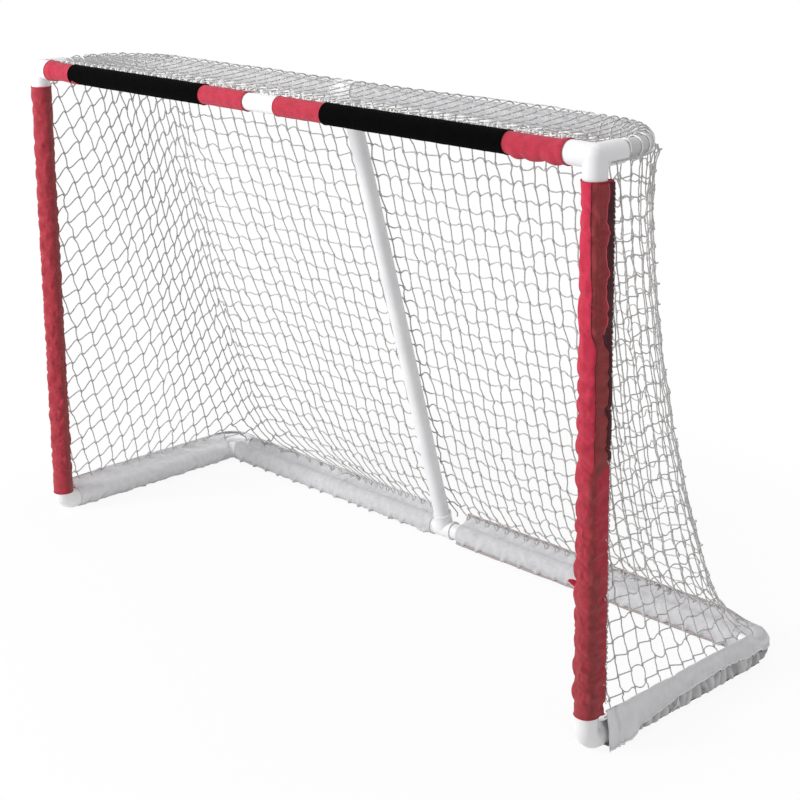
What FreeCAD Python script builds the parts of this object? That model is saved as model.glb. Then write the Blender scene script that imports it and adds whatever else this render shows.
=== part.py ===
"""Street-hockey goal: a push-fit plastic tube frame in fabric covers, with a laced-on net.

Frame: X runs along the crossbar, the mouth faces -Y, Z is up, and the origin is on the floor
under the middle of the goal. All sizes are in millimetres.
"""
import FreeCAD, Part
import math
import os
import Sketcher

Vector = FreeCAD.Vector
X = Vector(1, 0, 0)
Y = Vector(0, 1, 0)
Z = Vector(0, 0, 1)
QUARTER = math.pi / 2

SIZES = (
    ("goal_height", 1219, "floor to the top of the corner fittings"),
    ("goal_width", 1829, "between the centre lines of the posts"),
    ("base_depth", 585, "post centre line to the centre line of the rear base rail"),
    ("roof_depth", 265, "crossbar centre line to the centre line of the top rail"),
    ("rail_bend", 190, "bend radius of the top rail on its centre line"),
    ("tube_od", 40, "outside diameter of every frame tube"),
    ("tube_wall", 2.5, "wall of every frame tube"),
    ("socket_gap", 0.3, "radial clearance of a tube in its socket, and at its end"),
    ("socket_wall", 3.7, "wall of the elbows and corners round a tube"),
    ("fitting_leg", 70, "fitting centre to socket mouth, elbows and corners"),
    ("socket_depth", 43, "depth of an elbow or corner socket"),
    ("fitting_bend", 26, "bend radius of the elbows and corners on the centre line"),
    ("tee_run", 64, "mouth to mouth length of a tee"),
    ("tee_branch", 46, "tee centre to the mouth of its branch"),
    ("tee_seat", 22, "tee centre to the seat of the brace"),
    ("tee_rib", 6, "width of the stop rib inside a tee"),
    ("bead_height", 1.3, "rise of the bead round a tee mouth"),
    ("bead_width", 4.5, "width of the bead round a tee mouth"),
    ("brace_shift", 47, "brace and tees, left of the middle"),
    ("splice_shift", 27, "crossbar splice, left of the middle"),
    ("splice_length", 160, "length of the spigot inside the crossbar"),
    ("splice_wall", 3, "wall of the spigot"),
    ("fabric_gap", 0.3, "clearance of a fabric cover or net from what carries it"),
    ("post_cover_wall", 3.2, "thickness of the loose post covers"),
    ("post_cover_top", 45, "corner centre down to the top hem of a post cover"),
    ("post_cover_foot", 28, "elbow centre up to the bottom hem of a post cover"),
    ("bar_cover_wall", 2.5, "thickness of the snug crossbar covers"),
    ("bar_cover_end_wall", 1, "thickness of the left crossbar cover over the corner's leg"),
    ("bar_cover_start", 27, "left corner centre to the outer hem of the left crossbar cover"),
    ("bar_cover_flare", 12, "length of the taper where the cover leaves the left corner"),
    ("bare_gap", 105, "bare stretch of crossbar between the two covers"),
    ("banner_length", 520, "length of a dark banner on the crossbar"),
    ("banner_wall", 1, "thickness of a banner"),
    ("left_banner_inset", 418, "left post centre line to the middle of the left banner"),
    ("right_banner_inset", 474, "right post centre line to the middle of the right banner"),
    ("base_cover_wall", 1, "fabric over an elbow leg at the base"),
    ("base_cover_inset", 40, "elbow centre to the end hem of a base cover"),
    ("right_cover_inset", 27, "right tee mouth to the end hem of the right rear base cover"),
    ("hem_rise", 44, "base tube centre line to the top edge of the net hem"),
    ("net_head_rise", 10, "top rail centre line to the head of the side nets"),
    ("floor_gap", 0.8, "base covers above the floor"),
    ("net_cord", 3, "thickness of the net and of the lacing cord"),
    ("mesh_width", 76, "one net opening with its cord, sideways"),
    ("mesh_height", 88, "one net opening with its cord, up the net"),
    ("mesh_cord", 5, "width of the cord strip between two openings"),
    ("lacing_turns", 9, "turns of each lacing cord round the top rail"),
    ("lacing_tail", 20, "lacing beyond the end of the bend"),
)

doc = FreeCAD.newDocument("street_hockey_goal")
sheet = doc.addObject("Spreadsheet::Sheet", "Sizes")
for row, (alias, value, meaning) in enumerate(SIZES, start=1):
    sheet.set(f"A{row}", meaning)
    sheet.set(f"B{row}", str(value))
    sheet.setAlias(f"B{row}", alias)
doc.recompute()


def size(alias):
    """The value of one named cell of the sheet."""
    return float(sheet.get(alias))


# Sizes that follow from the driving ones, for places
tube_radius = size("tube_od") / 2
socket_radius = tube_radius + size("socket_gap") + size("socket_wall")
tube_end = size("fitting_leg") - size("socket_depth") + size("socket_gap")
base_z = socket_radius
top_z = size("goal_height") - socket_radius
rise = top_z - base_z
post_x = size("goal_width") / 2
post_cover_radius = socket_radius + size("fabric_gap") + size("post_cover_wall")
cord = size("net_cord")
half_cord = cord / 2
gap = size("fabric_gap")
net_offset = socket_radius + 2 * gap + half_cord
lean = math.atan((size("base_depth") - size("roof_depth")) / rise)
brace_axis = Vector(0, -math.sin(lean), math.cos(lean))
outward = Vector(0, math.cos(lean), math.sin(lean))
rear_reach = (net_offset + half_cord) * math.cos(lean)
front_y = -(size("base_depth") + rear_reach - post_cover_radius) / 2
back_y = front_y + size("base_depth")
rail_y = front_y + size("roof_depth")
tee_x = -size("brace_shift")
splice_x = -size("splice_shift")
half_run = size("tee_run") / 2

# The same sizes as expressions, for what is bound to the sheet
TUBE_R = "Sizes.tube_od / 2"
TUBE_BORE_R = "(Sizes.tube_od / 2 - Sizes.tube_wall)"
SOCKET_BORE_R = "(Sizes.tube_od / 2 + Sizes.socket_gap)"
SOCKET_R = "(Sizes.tube_od / 2 + Sizes.socket_gap + Sizes.socket_wall)"
TUBE_END = "(Sizes.fitting_leg - Sizes.socket_depth + Sizes.socket_gap)"
TUBE_STOP = "(Sizes.tee_rib / 2 + Sizes.socket_gap)"
RISE = f"(Sizes.goal_height - 2 * {SOCKET_R})"
COVER_BORE_R = f"({SOCKET_R} + Sizes.fabric_gap)"
TUBE_COVER_BORE_R = "(Sizes.tube_od / 2 + Sizes.fabric_gap)"
BAR_COVER_R = f"({TUBE_COVER_BORE_R} + Sizes.bar_cover_wall)"

parts = {}


def axes(along, side):
    """Rotation that turns local Z to along and local X to side."""
    return FreeCAD.Rotation(side, along.cross(side), along, "ZXY")


def across(direction):
    """A direction square to the given one, which lies along X or has no X part."""
    return X if direction.x == 0 else Y


def keep(obj, name):
    """Marks an object as a finished sub-part called name."""
    obj.Label = name
    parts[name] = obj
    return obj


def sketch_on(body, role, name):
    """A sketch on one of the body's own origin planes."""
    sketch = body.newObject("Sketcher::SketchObject", name)
    plane = next(item for item in body.Origin.OriginFeatures if item.Role == role)
    sketch.AttachmentSupport = [(plane, "")]
    sketch.MapMode = "FlatFace"
    return sketch


def add_circle(sketch, expression, guess):
    """A circle about the sketch origin with a bound radius."""
    circle = sketch.addGeometry(Part.Circle(Vector(), Z, guess), False)
    sketch.addConstraint(Sketcher.Constraint("Coincident", circle, 3, -1, 1))
    number = sketch.addConstraint(Sketcher.Constraint("Radius", circle, guess))
    sketch.setExpression(f"Constraints[{number}]", expression)


def ring_pad(name, outer, inner, length, start, direction):
    """A straight tube: the ring between two radii, padded from start along direction."""
    body = doc.addObject("PartDesign::Body", name)
    section = sketch_on(body, "XY_Plane", f"{name}_section")
    add_circle(section, outer, tube_radius)
    add_circle(section, inner, tube_radius / 2)
    pad = body.newObject("PartDesign::Pad", f"{name}_pad")
    pad.Profile = section
    pad.setExpression("Length", length)
    section.Visibility = False
    body.Placement = FreeCAD.Placement(start, axes(direction, across(direction)))
    return keep(body, name)


def tube(name, length, start, direction):
    """A straight frame tube."""
    return ring_pad(name, TUBE_R, TUBE_BORE_R, length, start, direction)


def cylinder(name, radius, length, start, direction):
    """A primitive cylinder with a bound radius and length."""
    obj = doc.addObject("Part::Cylinder", name)
    obj.setExpression("Radius", radius)
    obj.setExpression("Height", length)
    obj.Placement = FreeCAD.Placement(start, axes(direction, across(direction)))
    return obj


def quarter_bend(name, radius, corner, leg_a, leg_b):
    """A quarter torus that joins two legs of a fitting."""
    obj = doc.addObject("Part::Torus", name)
    obj.setExpression("Radius1", "Sizes.fitting_bend")
    obj.setExpression("Radius2", radius)
    obj.Angle3 = 90
    centre = corner + (leg_a + leg_b) * size("fitting_bend")
    obj.Placement = FreeCAD.Placement(centre, axes(leg_b.cross(leg_a), -leg_b))
    return obj


def fuse(name, pieces):
    """The union of several primitives."""
    obj = doc.addObject("Part::MultiFuse", name)
    obj.Shapes = pieces
    return obj


def cut(name, base, tool):
    """One shape less another."""
    obj = doc.addObject("Part::Cut", name)
    obj.Base = base
    obj.Tool = tool
    return obj


def sphere(name, radius, centre):
    """A primitive ball with a bound radius."""
    obj = doc.addObject("Part::Sphere", name)
    obj.setExpression("Radius", radius)
    obj.Placement = FreeCAD.Placement(centre, FreeCAD.Rotation())
    return obj


def sockets(name, centre, legs):
    """The socket in each leg of a fitting."""
    depth = "Sizes.socket_depth"
    reach = size("fitting_leg")
    return [cylinder(f"{name}_socket{number}", SOCKET_BORE_R, depth, centre + leg * reach, -leg)
            for number, leg in enumerate(legs)]


def elbow(name, corner, legs):
    """A bent fitting with a socket in each of its two legs."""
    solid = [quarter_bend(f"{name}_bend", SOCKET_R, corner, *legs)]
    hollow = [quarter_bend(f"{name}_turn", TUBE_BORE_R, corner, *legs)]
    straight = "(Sizes.fitting_leg - Sizes.fitting_bend)"
    for number, leg in enumerate(legs):
        start = corner + leg * size("fitting_bend")
        solid.append(cylinder(f"{name}_leg{number}", SOCKET_R, straight, start, leg))
        hollow.append(cylinder(f"{name}_way{number}", TUBE_BORE_R, straight, start, leg))
    ways = fuse(f"{name}_ways", hollow + sockets(name, corner, legs))
    return keep(cut(name, fuse(f"{name}_body", solid), ways), name)


def top_corner(name, corner, legs):
    """A three-way fitting with a ball-rounded corner and a socket in each leg."""
    reach = "Sizes.fitting_leg"
    solid = [sphere(f"{name}_ball", SOCKET_R, corner)]
    hollow = [sphere(f"{name}_core", TUBE_BORE_R, corner)]
    for number, leg in enumerate(legs):
        solid.append(cylinder(f"{name}_leg{number}", SOCKET_R, reach, corner, leg))
        hollow.append(cylinder(f"{name}_way{number}", TUBE_BORE_R, reach, corner, leg))
    ways = fuse(f"{name}_ways", hollow + sockets(name, corner, legs))
    return keep(cut(name, fuse(f"{name}_body", solid), ways), name)


def tee(name, centre, branch):
    """A tee on the X axis with beaded mouths and a branch for the brace."""
    wall = f"({SOCKET_R} - Sizes.bead_height)"
    run = "Sizes.tee_run"
    bead = "Sizes.bead_width"
    left_mouth = centre - X * half_run
    right_mouth = centre + X * half_run
    branch_mouth = centre + branch * size("tee_branch")
    solid = [
        cylinder(f"{name}_run", wall, run, left_mouth, X),
        cylinder(f"{name}_branch", wall, "Sizes.tee_branch", centre, branch),
        cylinder(f"{name}_left_bead", SOCKET_R, bead, left_mouth, X),
        cylinder(f"{name}_right_bead", SOCKET_R, bead, right_mouth, -X),
        cylinder(f"{name}_branch_bead", SOCKET_R, bead, branch_mouth, -branch),
    ]
    depth = "((Sizes.tee_run - Sizes.tee_rib) / 2)"
    hollow = [
        cylinder(f"{name}_way", TUBE_BORE_R, run, left_mouth, X),
        cylinder(f"{name}_left_socket", SOCKET_BORE_R, depth, left_mouth, X),
        cylinder(f"{name}_right_socket", SOCKET_BORE_R, depth, right_mouth, -X),
        cylinder(f"{name}_branch_way", TUBE_BORE_R, "Sizes.tee_branch", centre, branch),
        cylinder(f"{name}_brace_socket", SOCKET_BORE_R, "(Sizes.tee_branch - Sizes.tee_seat)",
                 branch_mouth, -branch),
    ]
    return keep(cut(name, fuse(f"{name}_body", solid), fuse(f"{name}_ways", hollow)), name)


# The frame's corner points
base_left = Vector(-post_x, front_y, base_z)
base_right = Vector(post_x, front_y, base_z)
rear_left = Vector(-post_x, back_y, base_z)
rear_right = Vector(post_x, back_y, base_z)
top_left = Vector(-post_x, front_y, top_z)
top_right = Vector(post_x, front_y, top_z)
base_tee_at = Vector(tee_x, back_y, base_z)
top_tee_at = Vector(tee_x, rail_y, top_z)

# Fittings
elbow("front_elbow_left", base_left, [Z, Y])
elbow("front_elbow_right", base_right, [Z, Y])
elbow("rear_elbow_left", rear_left, [-Y, X])
elbow("rear_elbow_right", rear_right, [-Y, -X])
top_corner("top_corner_left", top_left, [X, -Z, Y])
top_corner("top_corner_right", top_right, [-X, -Z, Y])
tee("base_tee", base_tee_at, brace_axis)
tee("top_tee", top_tee_at, -brace_axis)

# Straight tubes
post_length = f"{RISE} - 2 * {TUBE_END}"
tube("post_tube_left", post_length, base_left + Z * tube_end, Z)
tube("post_tube_right", post_length, base_right + Z * tube_end, Z)

side_tube_length = f"Sizes.base_depth - 2 * {TUBE_END}"
tube("base_side_tube_left", side_tube_length, base_left + Y * tube_end, Y)
tube("base_side_tube_right", side_tube_length, base_right + Y * tube_end, Y)

rear_left_length = f"Sizes.goal_width / 2 - Sizes.brace_shift - {TUBE_END} - {TUBE_STOP}"
rear_right_length = f"Sizes.goal_width / 2 + Sizes.brace_shift - {TUBE_END} - {TUBE_STOP}"
tube("base_rear_tube_left", rear_left_length, rear_left + X * tube_end, X)
tube("base_rear_tube_right", rear_right_length, rear_right - X * tube_end, -X)

half_joint = "Sizes.socket_gap / 2"
bar_left_length = f"Sizes.goal_width / 2 - Sizes.splice_shift - {TUBE_END} - {half_joint}"
bar_right_length = f"Sizes.goal_width / 2 + Sizes.splice_shift - {TUBE_END} - {half_joint}"
tube("crossbar_tube_left", bar_left_length, top_left + X * tube_end, X)
tube("crossbar_tube_right", bar_right_length, top_right - X * tube_end, -X)

splice_start = Vector(splice_x - size("splice_length") / 2, front_y, top_z)
splice_radius = f"({TUBE_BORE_R} - Sizes.socket_gap)"
ring_pad("crossbar_splice", splice_radius, f"{splice_radius} - Sizes.splice_wall",
         "Sizes.splice_length", splice_start, X)

span = f"sqrt({RISE} ^ 2 + (Sizes.base_depth - Sizes.roof_depth) ^ 2)"
brace_end = "(Sizes.tee_seat + Sizes.socket_gap)"
brace_start = base_tee_at + brace_axis * (size("tee_seat") + size("socket_gap"))
tube("brace_tube", f"{span} - 2 * {brace_end}", brace_start, brace_axis)


def bent_tube(name, start, inward, rail_length):
    """A top tube: back from its corner, round one bend and along the rear to the top tee."""
    body = doc.addObject("PartDesign::Body", name)
    section = sketch_on(body, "XY_Plane", f"{name}_section")
    add_circle(section, TUBE_R, tube_radius)
    add_circle(section, TUBE_BORE_R, tube_radius / 2)
    bend = size("rail_bend")
    arm = size("roof_depth") - bend - tube_end
    path = sketch_on(body, "XZ_Plane", f"{name}_path")
    first = path.addGeometry(Part.LineSegment(Vector(0, 0, 0), Vector(0, arm, 0)), False)
    middle = Vector(bend - bend * math.cos(math.pi / 4), arm + bend * math.sin(math.pi / 4), 0)
    corner_arc = Part.Arc(Vector(0, arm, 0), middle, Vector(bend, arm + bend, 0))
    arc = path.addGeometry(corner_arc, False)
    rail = Part.LineSegment(Vector(bend, arm + bend, 0), Vector(2 * bend, arm + bend, 0))
    last = path.addGeometry(rail, False)
    # the arc runs anticlockwise, so it starts at its far end
    path.addConstraint(Sketcher.Constraint("Coincident", first, 1, -1, 1))
    path.addConstraint(Sketcher.Constraint("Vertical", first))
    path.addConstraint(Sketcher.Constraint("Horizontal", last))
    path.addConstraint(Sketcher.Constraint("Tangent", first, 2, arc, 2))
    path.addConstraint(Sketcher.Constraint("Tangent", arc, 1, last, 1))
    lengths = (
        (("Distance", first, arm), f"Sizes.roof_depth - Sizes.rail_bend - {TUBE_END}"),
        (("Radius", arc, bend), "Sizes.rail_bend"),
        (("Distance", last, bend), rail_length),
    )
    for (kind, line, guess), expression in lengths:
        number = path.addConstraint(Sketcher.Constraint(kind, line, guess))
        path.setExpression(f"Constraints[{number}]", expression)
    doc.recompute()
    pipe = body.newObject("PartDesign::AdditivePipe", f"{name}_pipe")
    pipe.Profile = section
    pipe.Spine = (path, ["Edge1", "Edge2", "Edge3"])
    section.Visibility = False
    path.Visibility = False
    body.Placement = FreeCAD.Placement(start, axes(Y, inward))
    return keep(body, name)


rail_half = "Sizes.goal_width / 2 - Sizes.rail_bend"
bent_tube("top_tube_left", top_left + Y * tube_end, X,
          f"{rail_half} - Sizes.brace_shift - {TUBE_STOP}")
bent_tube("top_tube_right", top_right + Y * tube_end, -X,
          f"{rail_half} + Sizes.brace_shift - {TUBE_STOP}")

# Post covers, loose over the tube and the ends of its two fittings
cover_length = f"{RISE} - Sizes.post_cover_top - Sizes.post_cover_foot"
for side, foot in (("left", base_left), ("right", base_right)):
    ring_pad(f"post_cover_{side}", f"{COVER_BORE_R} + Sizes.post_cover_wall", COVER_BORE_R,
             cover_length, foot + Z * size("post_cover_foot"), Z)

# Crossbar covers: the right one on the bare tube, the left one also over the corner's leg
gap_left = splice_x - size("bare_gap") / 2
gap_right = splice_x + size("bare_gap") / 2
right_cover_length = (f"Sizes.goal_width / 2 + Sizes.splice_shift - Sizes.bare_gap / 2"
                      f" - Sizes.fitting_leg - Sizes.fabric_gap")
ring_pad("crossbar_cover_right", BAR_COVER_R, TUBE_COVER_BORE_R, right_cover_length,
         Vector(gap_right, front_y, top_z), X)

left_cover_length = ("Sizes.goal_width / 2 - Sizes.splice_shift - Sizes.bare_gap / 2"
                     " - Sizes.bar_cover_start")
lap_length = "Sizes.fitting_leg - Sizes.bar_cover_start + Sizes.fabric_gap + Sizes.bar_cover_end_wall"
LAP_R = f"({COVER_BORE_R} + Sizes.bar_cover_end_wall)"
left_cover_body = fuse("crossbar_cover_left_body", [
    cylinder("crossbar_cover_left_run", BAR_COVER_R, left_cover_length,
             Vector(gap_left, front_y, top_z), -X),
    cylinder("crossbar_cover_left_end", LAP_R, lap_length, top_left + X * size("bar_cover_start"), X),
])
flare = doc.addObject("Part::Cone", "crossbar_cover_left_flare")
flare.setExpression("Radius1", LAP_R)
flare.setExpression("Radius2", BAR_COVER_R)
flare.setExpression("Height", "Sizes.bar_cover_flare")
flare_start = size("fitting_leg") + gap + size("bar_cover_end_wall")
flare.Placement = FreeCAD.Placement(top_left + X * flare_start, axes(X, Y))
left_cover_ways = fuse("crossbar_cover_left_ways", [
    cylinder("crossbar_cover_left_bore", TUBE_COVER_BORE_R, "Sizes.goal_width", top_left, X),
    cylinder("crossbar_cover_left_socket", COVER_BORE_R, "Sizes.fitting_leg + Sizes.fabric_gap",
             top_left, X),
])
keep(cut("crossbar_cover_left", fuse("crossbar_cover_left_skin", [left_cover_body, flare]),
         left_cover_ways), "crossbar_cover_left")

# Banners round the crossbar covers
banner_bore = f"({BAR_COVER_R} + Sizes.fabric_gap)"
half_banner = size("banner_length") / 2
banner_starts = {
    "left": -post_x + size("left_banner_inset") - half_banner,
    "right": post_x - size("right_banner_inset") - half_banner,
}
for side, start_x in banner_starts.items():
    ring_pad(f"crossbar_banner_{side}", f"{banner_bore} + Sizes.banner_wall", banner_bore,
             "Sizes.banner_length", Vector(start_x, front_y, top_z), X)


def base_cover(name, start, finish, up, out, length, laps):
    """A base cover: fabric round the tube with a flap that rises outside it to the net hem.

    laps gives each end where the cover goes over a fitting's leg, with the way from there inwards.
    """
    along = (finish - start).normalize()
    skin = cylinder(f"{name}_skin", f"{COVER_BORE_R} + Sizes.base_cover_wall", length, start, along)
    flap = doc.addObject("Part::Box", f"{name}_flap")
    flap.setExpression("Length", "Sizes.net_cord")
    flap.setExpression("Width", "Sizes.hem_rise")
    flap.setExpression("Height", length)
    foot = start + out * (net_offset - half_cord)
    # the box's width runs along this way, which is up or down
    width_way = along.cross(out)
    if width_way.dot(up) < 0:
        foot += up * size("hem_rise")
    flap.Placement = FreeCAD.Placement(foot, axes(along, out))
    bores = [cylinder(f"{name}_bore", TUBE_COVER_BORE_R, length, start, along)]
    lap = "(Sizes.fitting_leg - Sizes.base_cover_inset + Sizes.fabric_gap)"
    for number, (end, inwards) in enumerate(laps):
        bores.append(cylinder(f"{name}_lap{number}", COVER_BORE_R, lap, end, inwards))
    # all below the lowest edge of the fabric, under the whole goal
    floor = doc.addObject("Part::Box", f"{name}_floor")
    floor.setExpression("Length", "2 * Sizes.goal_width")
    floor.setExpression("Width", "2 * Sizes.goal_width")
    floor.setExpression("Height", "Sizes.tube_od")
    floor_corner = Vector(-size("goal_width"), -size("goal_width"), size("floor_gap") - size("tube_od"))
    floor.Placement = FreeCAD.Placement(floor_corner, FreeCAD.Rotation())
    body = fuse(f"{name}_body", [skin, flap])
    return keep(cut(name, body, fuse(f"{name}_ways", bores + [floor])), name)


inset = size("base_cover_inset")
side_cover_length = "Sizes.base_depth - 2 * Sizes.base_cover_inset"
for side, front, rear, out in (("left", base_left, rear_left, -X), ("right", base_right, rear_right, X)):
    near = front + Y * inset
    far = rear - Y * inset
    base_cover(f"base_side_cover_{side}", near, far, Z, out, side_cover_length,
               ((near, Y), (far, -Y)))

rear_left_cover = ("Sizes.goal_width / 2 - Sizes.brace_shift - Sizes.tee_run / 2"
                   " - Sizes.base_cover_inset - Sizes.fabric_gap")
rear_right_cover = ("Sizes.goal_width / 2 + Sizes.brace_shift - Sizes.tee_run / 2"
                    " - Sizes.base_cover_inset - Sizes.right_cover_inset")
left_start = rear_left + X * inset
right_start = rear_right - X * inset
base_cover("base_rear_cover_left", left_start, base_tee_at - X * (half_run + gap),
           brace_axis, outward, rear_left_cover, ((left_start, X),))
base_cover("base_rear_cover_right", right_start, base_tee_at + X * (half_run + size("right_cover_inset")),
           brace_axis, outward, rear_right_cover, ((right_start, -X),))


def soft_piece(name, shape):
    """A sub-part whose shape is built from the sheet's sizes by formula."""
    obj = doc.addObject("Part::Feature", name)
    obj.Shape = shape
    return keep(obj, name)


# Nets: flat panels and two rounded corners, at one offset outside the frame
net_x = post_x + net_offset
net_foot_z = base_z + size("hem_rise") + gap
net_head_z = top_z + size("net_head_rise")
lacing_radius = tube_radius + gap + half_cord
roof_z = top_z + lacing_radius + half_cord + gap
cell_w = size("mesh_width")
cell_h = size("mesh_height")
strip = size("mesh_cord")
# the taut net rounds its rear corners as it does the bends of the top rail, all the way down
net_round = size("rail_bend") + net_offset
# the rounded corners start above the leaning flaps of the rear covers, which they cross
corner_foot_z = (base_z + (net_offset + half_cord) * math.sin(lean)
                 + size("hem_rise") * math.cos(lean) + gap)


def rear_net_y(z):
    """Where the rear net stands at one height, on the middle of the cord."""
    return back_y + net_offset / math.cos(lean) - (z - base_z) * math.tan(lean)


def polygon(corners):
    """A closed outline through flat corners."""
    return Part.makePolygon([Vector(a, b, 0) for a, b in corners + corners[:1]])


def brick_holes(rows, left_edge, right_edge):
    """Openings in brick pattern between two slanting edges."""
    holes = []
    for number, (low, high) in enumerate(rows):
        middle = (low + high) / 2
        width = right_edge(middle) - left_edge(middle) - strip
        columns = max(1, round(width / cell_w))
        shares = [column / columns for column in range(columns + 1)]
        if number % 2:
            shares = [0] + [(column + 0.5) / columns for column in range(columns)] + [1]
        for near, far in zip(shares, shares[1:]):
            corners = []
            for share, side, height in ((near, strip, low), (far, 0, low),
                                        (far, 0, high), (near, strip, high)):
                span = right_edge(height) - left_edge(height) - strip
                corners.append((left_edge(height) + share * span + side, height))
            holes.append(polygon(corners))
    return holes


def mesh_rows(foot, head):
    """The low and high edges of each row of openings between two heights."""
    count = round((head - foot - strip) / cell_h)
    pitch = (head - foot - strip) / count
    return [(foot + strip + n * pitch, foot + (n + 1) * pitch) for n in range(count)]


def holed_plate(outline, holes, place):
    """A flat net: one face with its openings, given the cord's thickness along place's Z."""
    plate = Part.makeFace([outline] + holes, "Part::FaceMakerCheese").extrude(Z * cord)
    plate.Placement = place
    return plate


# Rear net, drawn in its own leaning plane: X across, Y up the brace direction
def rear_v(z):
    """Distance up the leaning plane of the rear net at one height."""
    return (z - base_z - net_offset * math.sin(lean)) / math.cos(lean)


rear_foot = size("hem_rise") + gap
rear_head = rear_v(roof_z - gap - half_cord * math.sin(lean))


rear_half = net_x - net_round - gap
rear_outline = polygon([(-rear_half, rear_foot), (rear_half, rear_foot),
                        (rear_half, rear_head), (-rear_half, rear_head)])
rear_holes = brick_holes(mesh_rows(rear_foot, rear_head), lambda v: -rear_half, lambda v: rear_half)
rear_place = FreeCAD.Placement(Vector(0, back_y, base_z) + outward * (net_offset + half_cord),
                               FreeCAD.Rotation(X, brace_axis, -outward, "XYZ"))
soft_piece("net_rear", holed_plate(rear_outline, rear_holes, rear_place))

# Side nets: a flat panel behind the post and the rounded corner to the rear net
post_reach = math.sqrt((post_cover_radius + gap) ** 2 - (net_offset - half_cord) ** 2)
side_front = front_y + post_reach


def side_rear_edge(z):
    """Where the flat part of a side net ends and its rounded corner starts."""
    return rear_net_y(z) - net_round


def corner_wire(z, side):
    """Section of the rounded corner at one height."""
    centre = Vector(side * (net_x - net_round), rear_net_y(z) - net_round, z)
    turn = [Vector(side * math.cos(a), math.sin(a), 0) for a in (0, QUARTER / 2, QUARTER)]
    outer = [centre + d * (net_round + half_cord) for d in turn]
    inner = [centre + d * (net_round - half_cord) for d in turn]
    return Part.Wire([
        Part.Arc(*outer).toShape(),
        Part.LineSegment(outer[2], inner[2]).toShape(),
        Part.Arc(inner[2], inner[1], inner[0]).toShape(),
        Part.LineSegment(inner[0], outer[0]).toShape(),
    ])


def corner_cutters(side):
    """Radial blocks that open the meshes of a rounded corner."""
    blocks = []
    columns = round(net_round * QUARTER / cell_w)
    width = net_round * QUARTER / columns - strip
    # half the way that the leaning corner moves over one row, and through the cord
    reach = cell_h * math.tan(lean) / 2 + 4 * cord
    for low, high in mesh_rows(corner_foot_z, net_head_z):
        centre = Vector(side * (net_x - net_round), rear_net_y((low + high) / 2) - net_round, low)
        for column in range(columns):
            angle = QUARTER * (column + 0.5) / columns
            block = Part.makeBox(2 * reach, width, high - low, Vector(-reach, -width / 2, 0))
            heading = Vector(side * math.cos(angle), math.sin(angle), 0)
            block.Placement = FreeCAD.Placement(centre + heading * net_round, axes(Z, heading))
            blocks.append(block)
    return blocks


def side_net(side):
    """One side net as a single solid."""
    outline = polygon([(side_front, net_foot_z), (side_rear_edge(net_foot_z), net_foot_z),
                       (side_rear_edge(net_head_z), net_head_z), (side_front, net_head_z)])
    holes = brick_holes(mesh_rows(net_foot_z, net_head_z), lambda z: side_front, side_rear_edge)
    place = FreeCAD.Placement(Vector(side * net_x - half_cord, 0, 0), FreeCAD.Rotation(Y, Z, X, "XYZ"))
    panel = holed_plate(outline, holes, place)
    corner = Part.makeLoft([corner_wire(corner_foot_z, side), corner_wire(net_head_z, side)], True, True)
    return panel.fuse(corner.cut(corner_cutters(side))).removeSplitter()


right_net = side_net(1)
soft_piece("net_right", right_net)
soft_piece("net_left", right_net.mirror(Vector(), X))

# Roof net: lies on the lacing, between the crossbar and the top of the rear net
roof_half = post_x - net_offset
bar_lap_radius = socket_radius + gap + size("bar_cover_end_wall")
roof_reach = math.sqrt((bar_lap_radius + gap) ** 2 - (roof_z - top_z) ** 2)
roof_front = front_y + roof_reach
roof_back = rear_net_y(roof_z) + half_cord
roof_bend = size("rail_bend") + roof_back - rail_y
bend_x = post_x - size("rail_bend")
bend_y = rail_y - size("rail_bend")
edge_y = bend_y + math.sqrt(roof_bend ** 2 - (roof_half - bend_x) ** 2)
mid_angle = (math.atan2(edge_y - bend_y, roof_half - bend_x) + QUARTER) / 2
mid = (bend_x + roof_bend * math.cos(mid_angle), bend_y + roof_bend * math.sin(mid_angle))


def flat(a, b):
    """A point of the roof outline."""
    return Vector(a, b, 0)


roof_outline = Part.Wire([
    Part.LineSegment(flat(-roof_half, roof_front), flat(roof_half, roof_front)).toShape(),
    Part.LineSegment(flat(roof_half, roof_front), flat(roof_half, edge_y)).toShape(),
    Part.Arc(flat(roof_half, edge_y), flat(*mid), flat(bend_x, roof_back)).toShape(),
    Part.LineSegment(flat(bend_x, roof_back), flat(-bend_x, roof_back)).toShape(),
    Part.Arc(flat(-bend_x, roof_back), flat(-mid[0], mid[1]), flat(-roof_half, edge_y)).toShape(),
    Part.LineSegment(flat(-roof_half, edge_y), flat(-roof_half, roof_front)).toShape(),
])


def roof_edge(y):
    """Half width of the roof net at one depth."""
    if y <= edge_y:
        return roof_half
    return bend_x + math.sqrt(max(roof_bend ** 2 - (y - bend_y) ** 2, 0))


roof_holes = brick_holes(mesh_rows(roof_front, roof_back), lambda y: -roof_edge(y), roof_edge)
roof_place = FreeCAD.Placement(Vector(0, 0, roof_z), FreeCAD.Rotation())
soft_piece("net_roof", holed_plate(roof_outline, roof_holes, roof_place))


# Lacing cords: wound round the bends of the top rail, which the net hangs from
def bend_point(side, distance):
    """A point of the top tube's centre line with its outward direction, from the bend's start."""
    bend = size("rail_bend")
    turn = QUARTER * bend
    centre = Vector(side * bend_x, bend_y, top_z)
    if distance < 0:
        return centre + Vector(side * bend, distance, 0), Vector(side, 0, 0)
    if distance > turn:
        return centre + Vector(side * (turn - distance), bend, 0), Vector(0, 1, 0)
    angle = distance / bend
    heading = Vector(side * math.cos(angle), math.sin(angle), 0)
    return centre + heading * bend, heading


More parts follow.
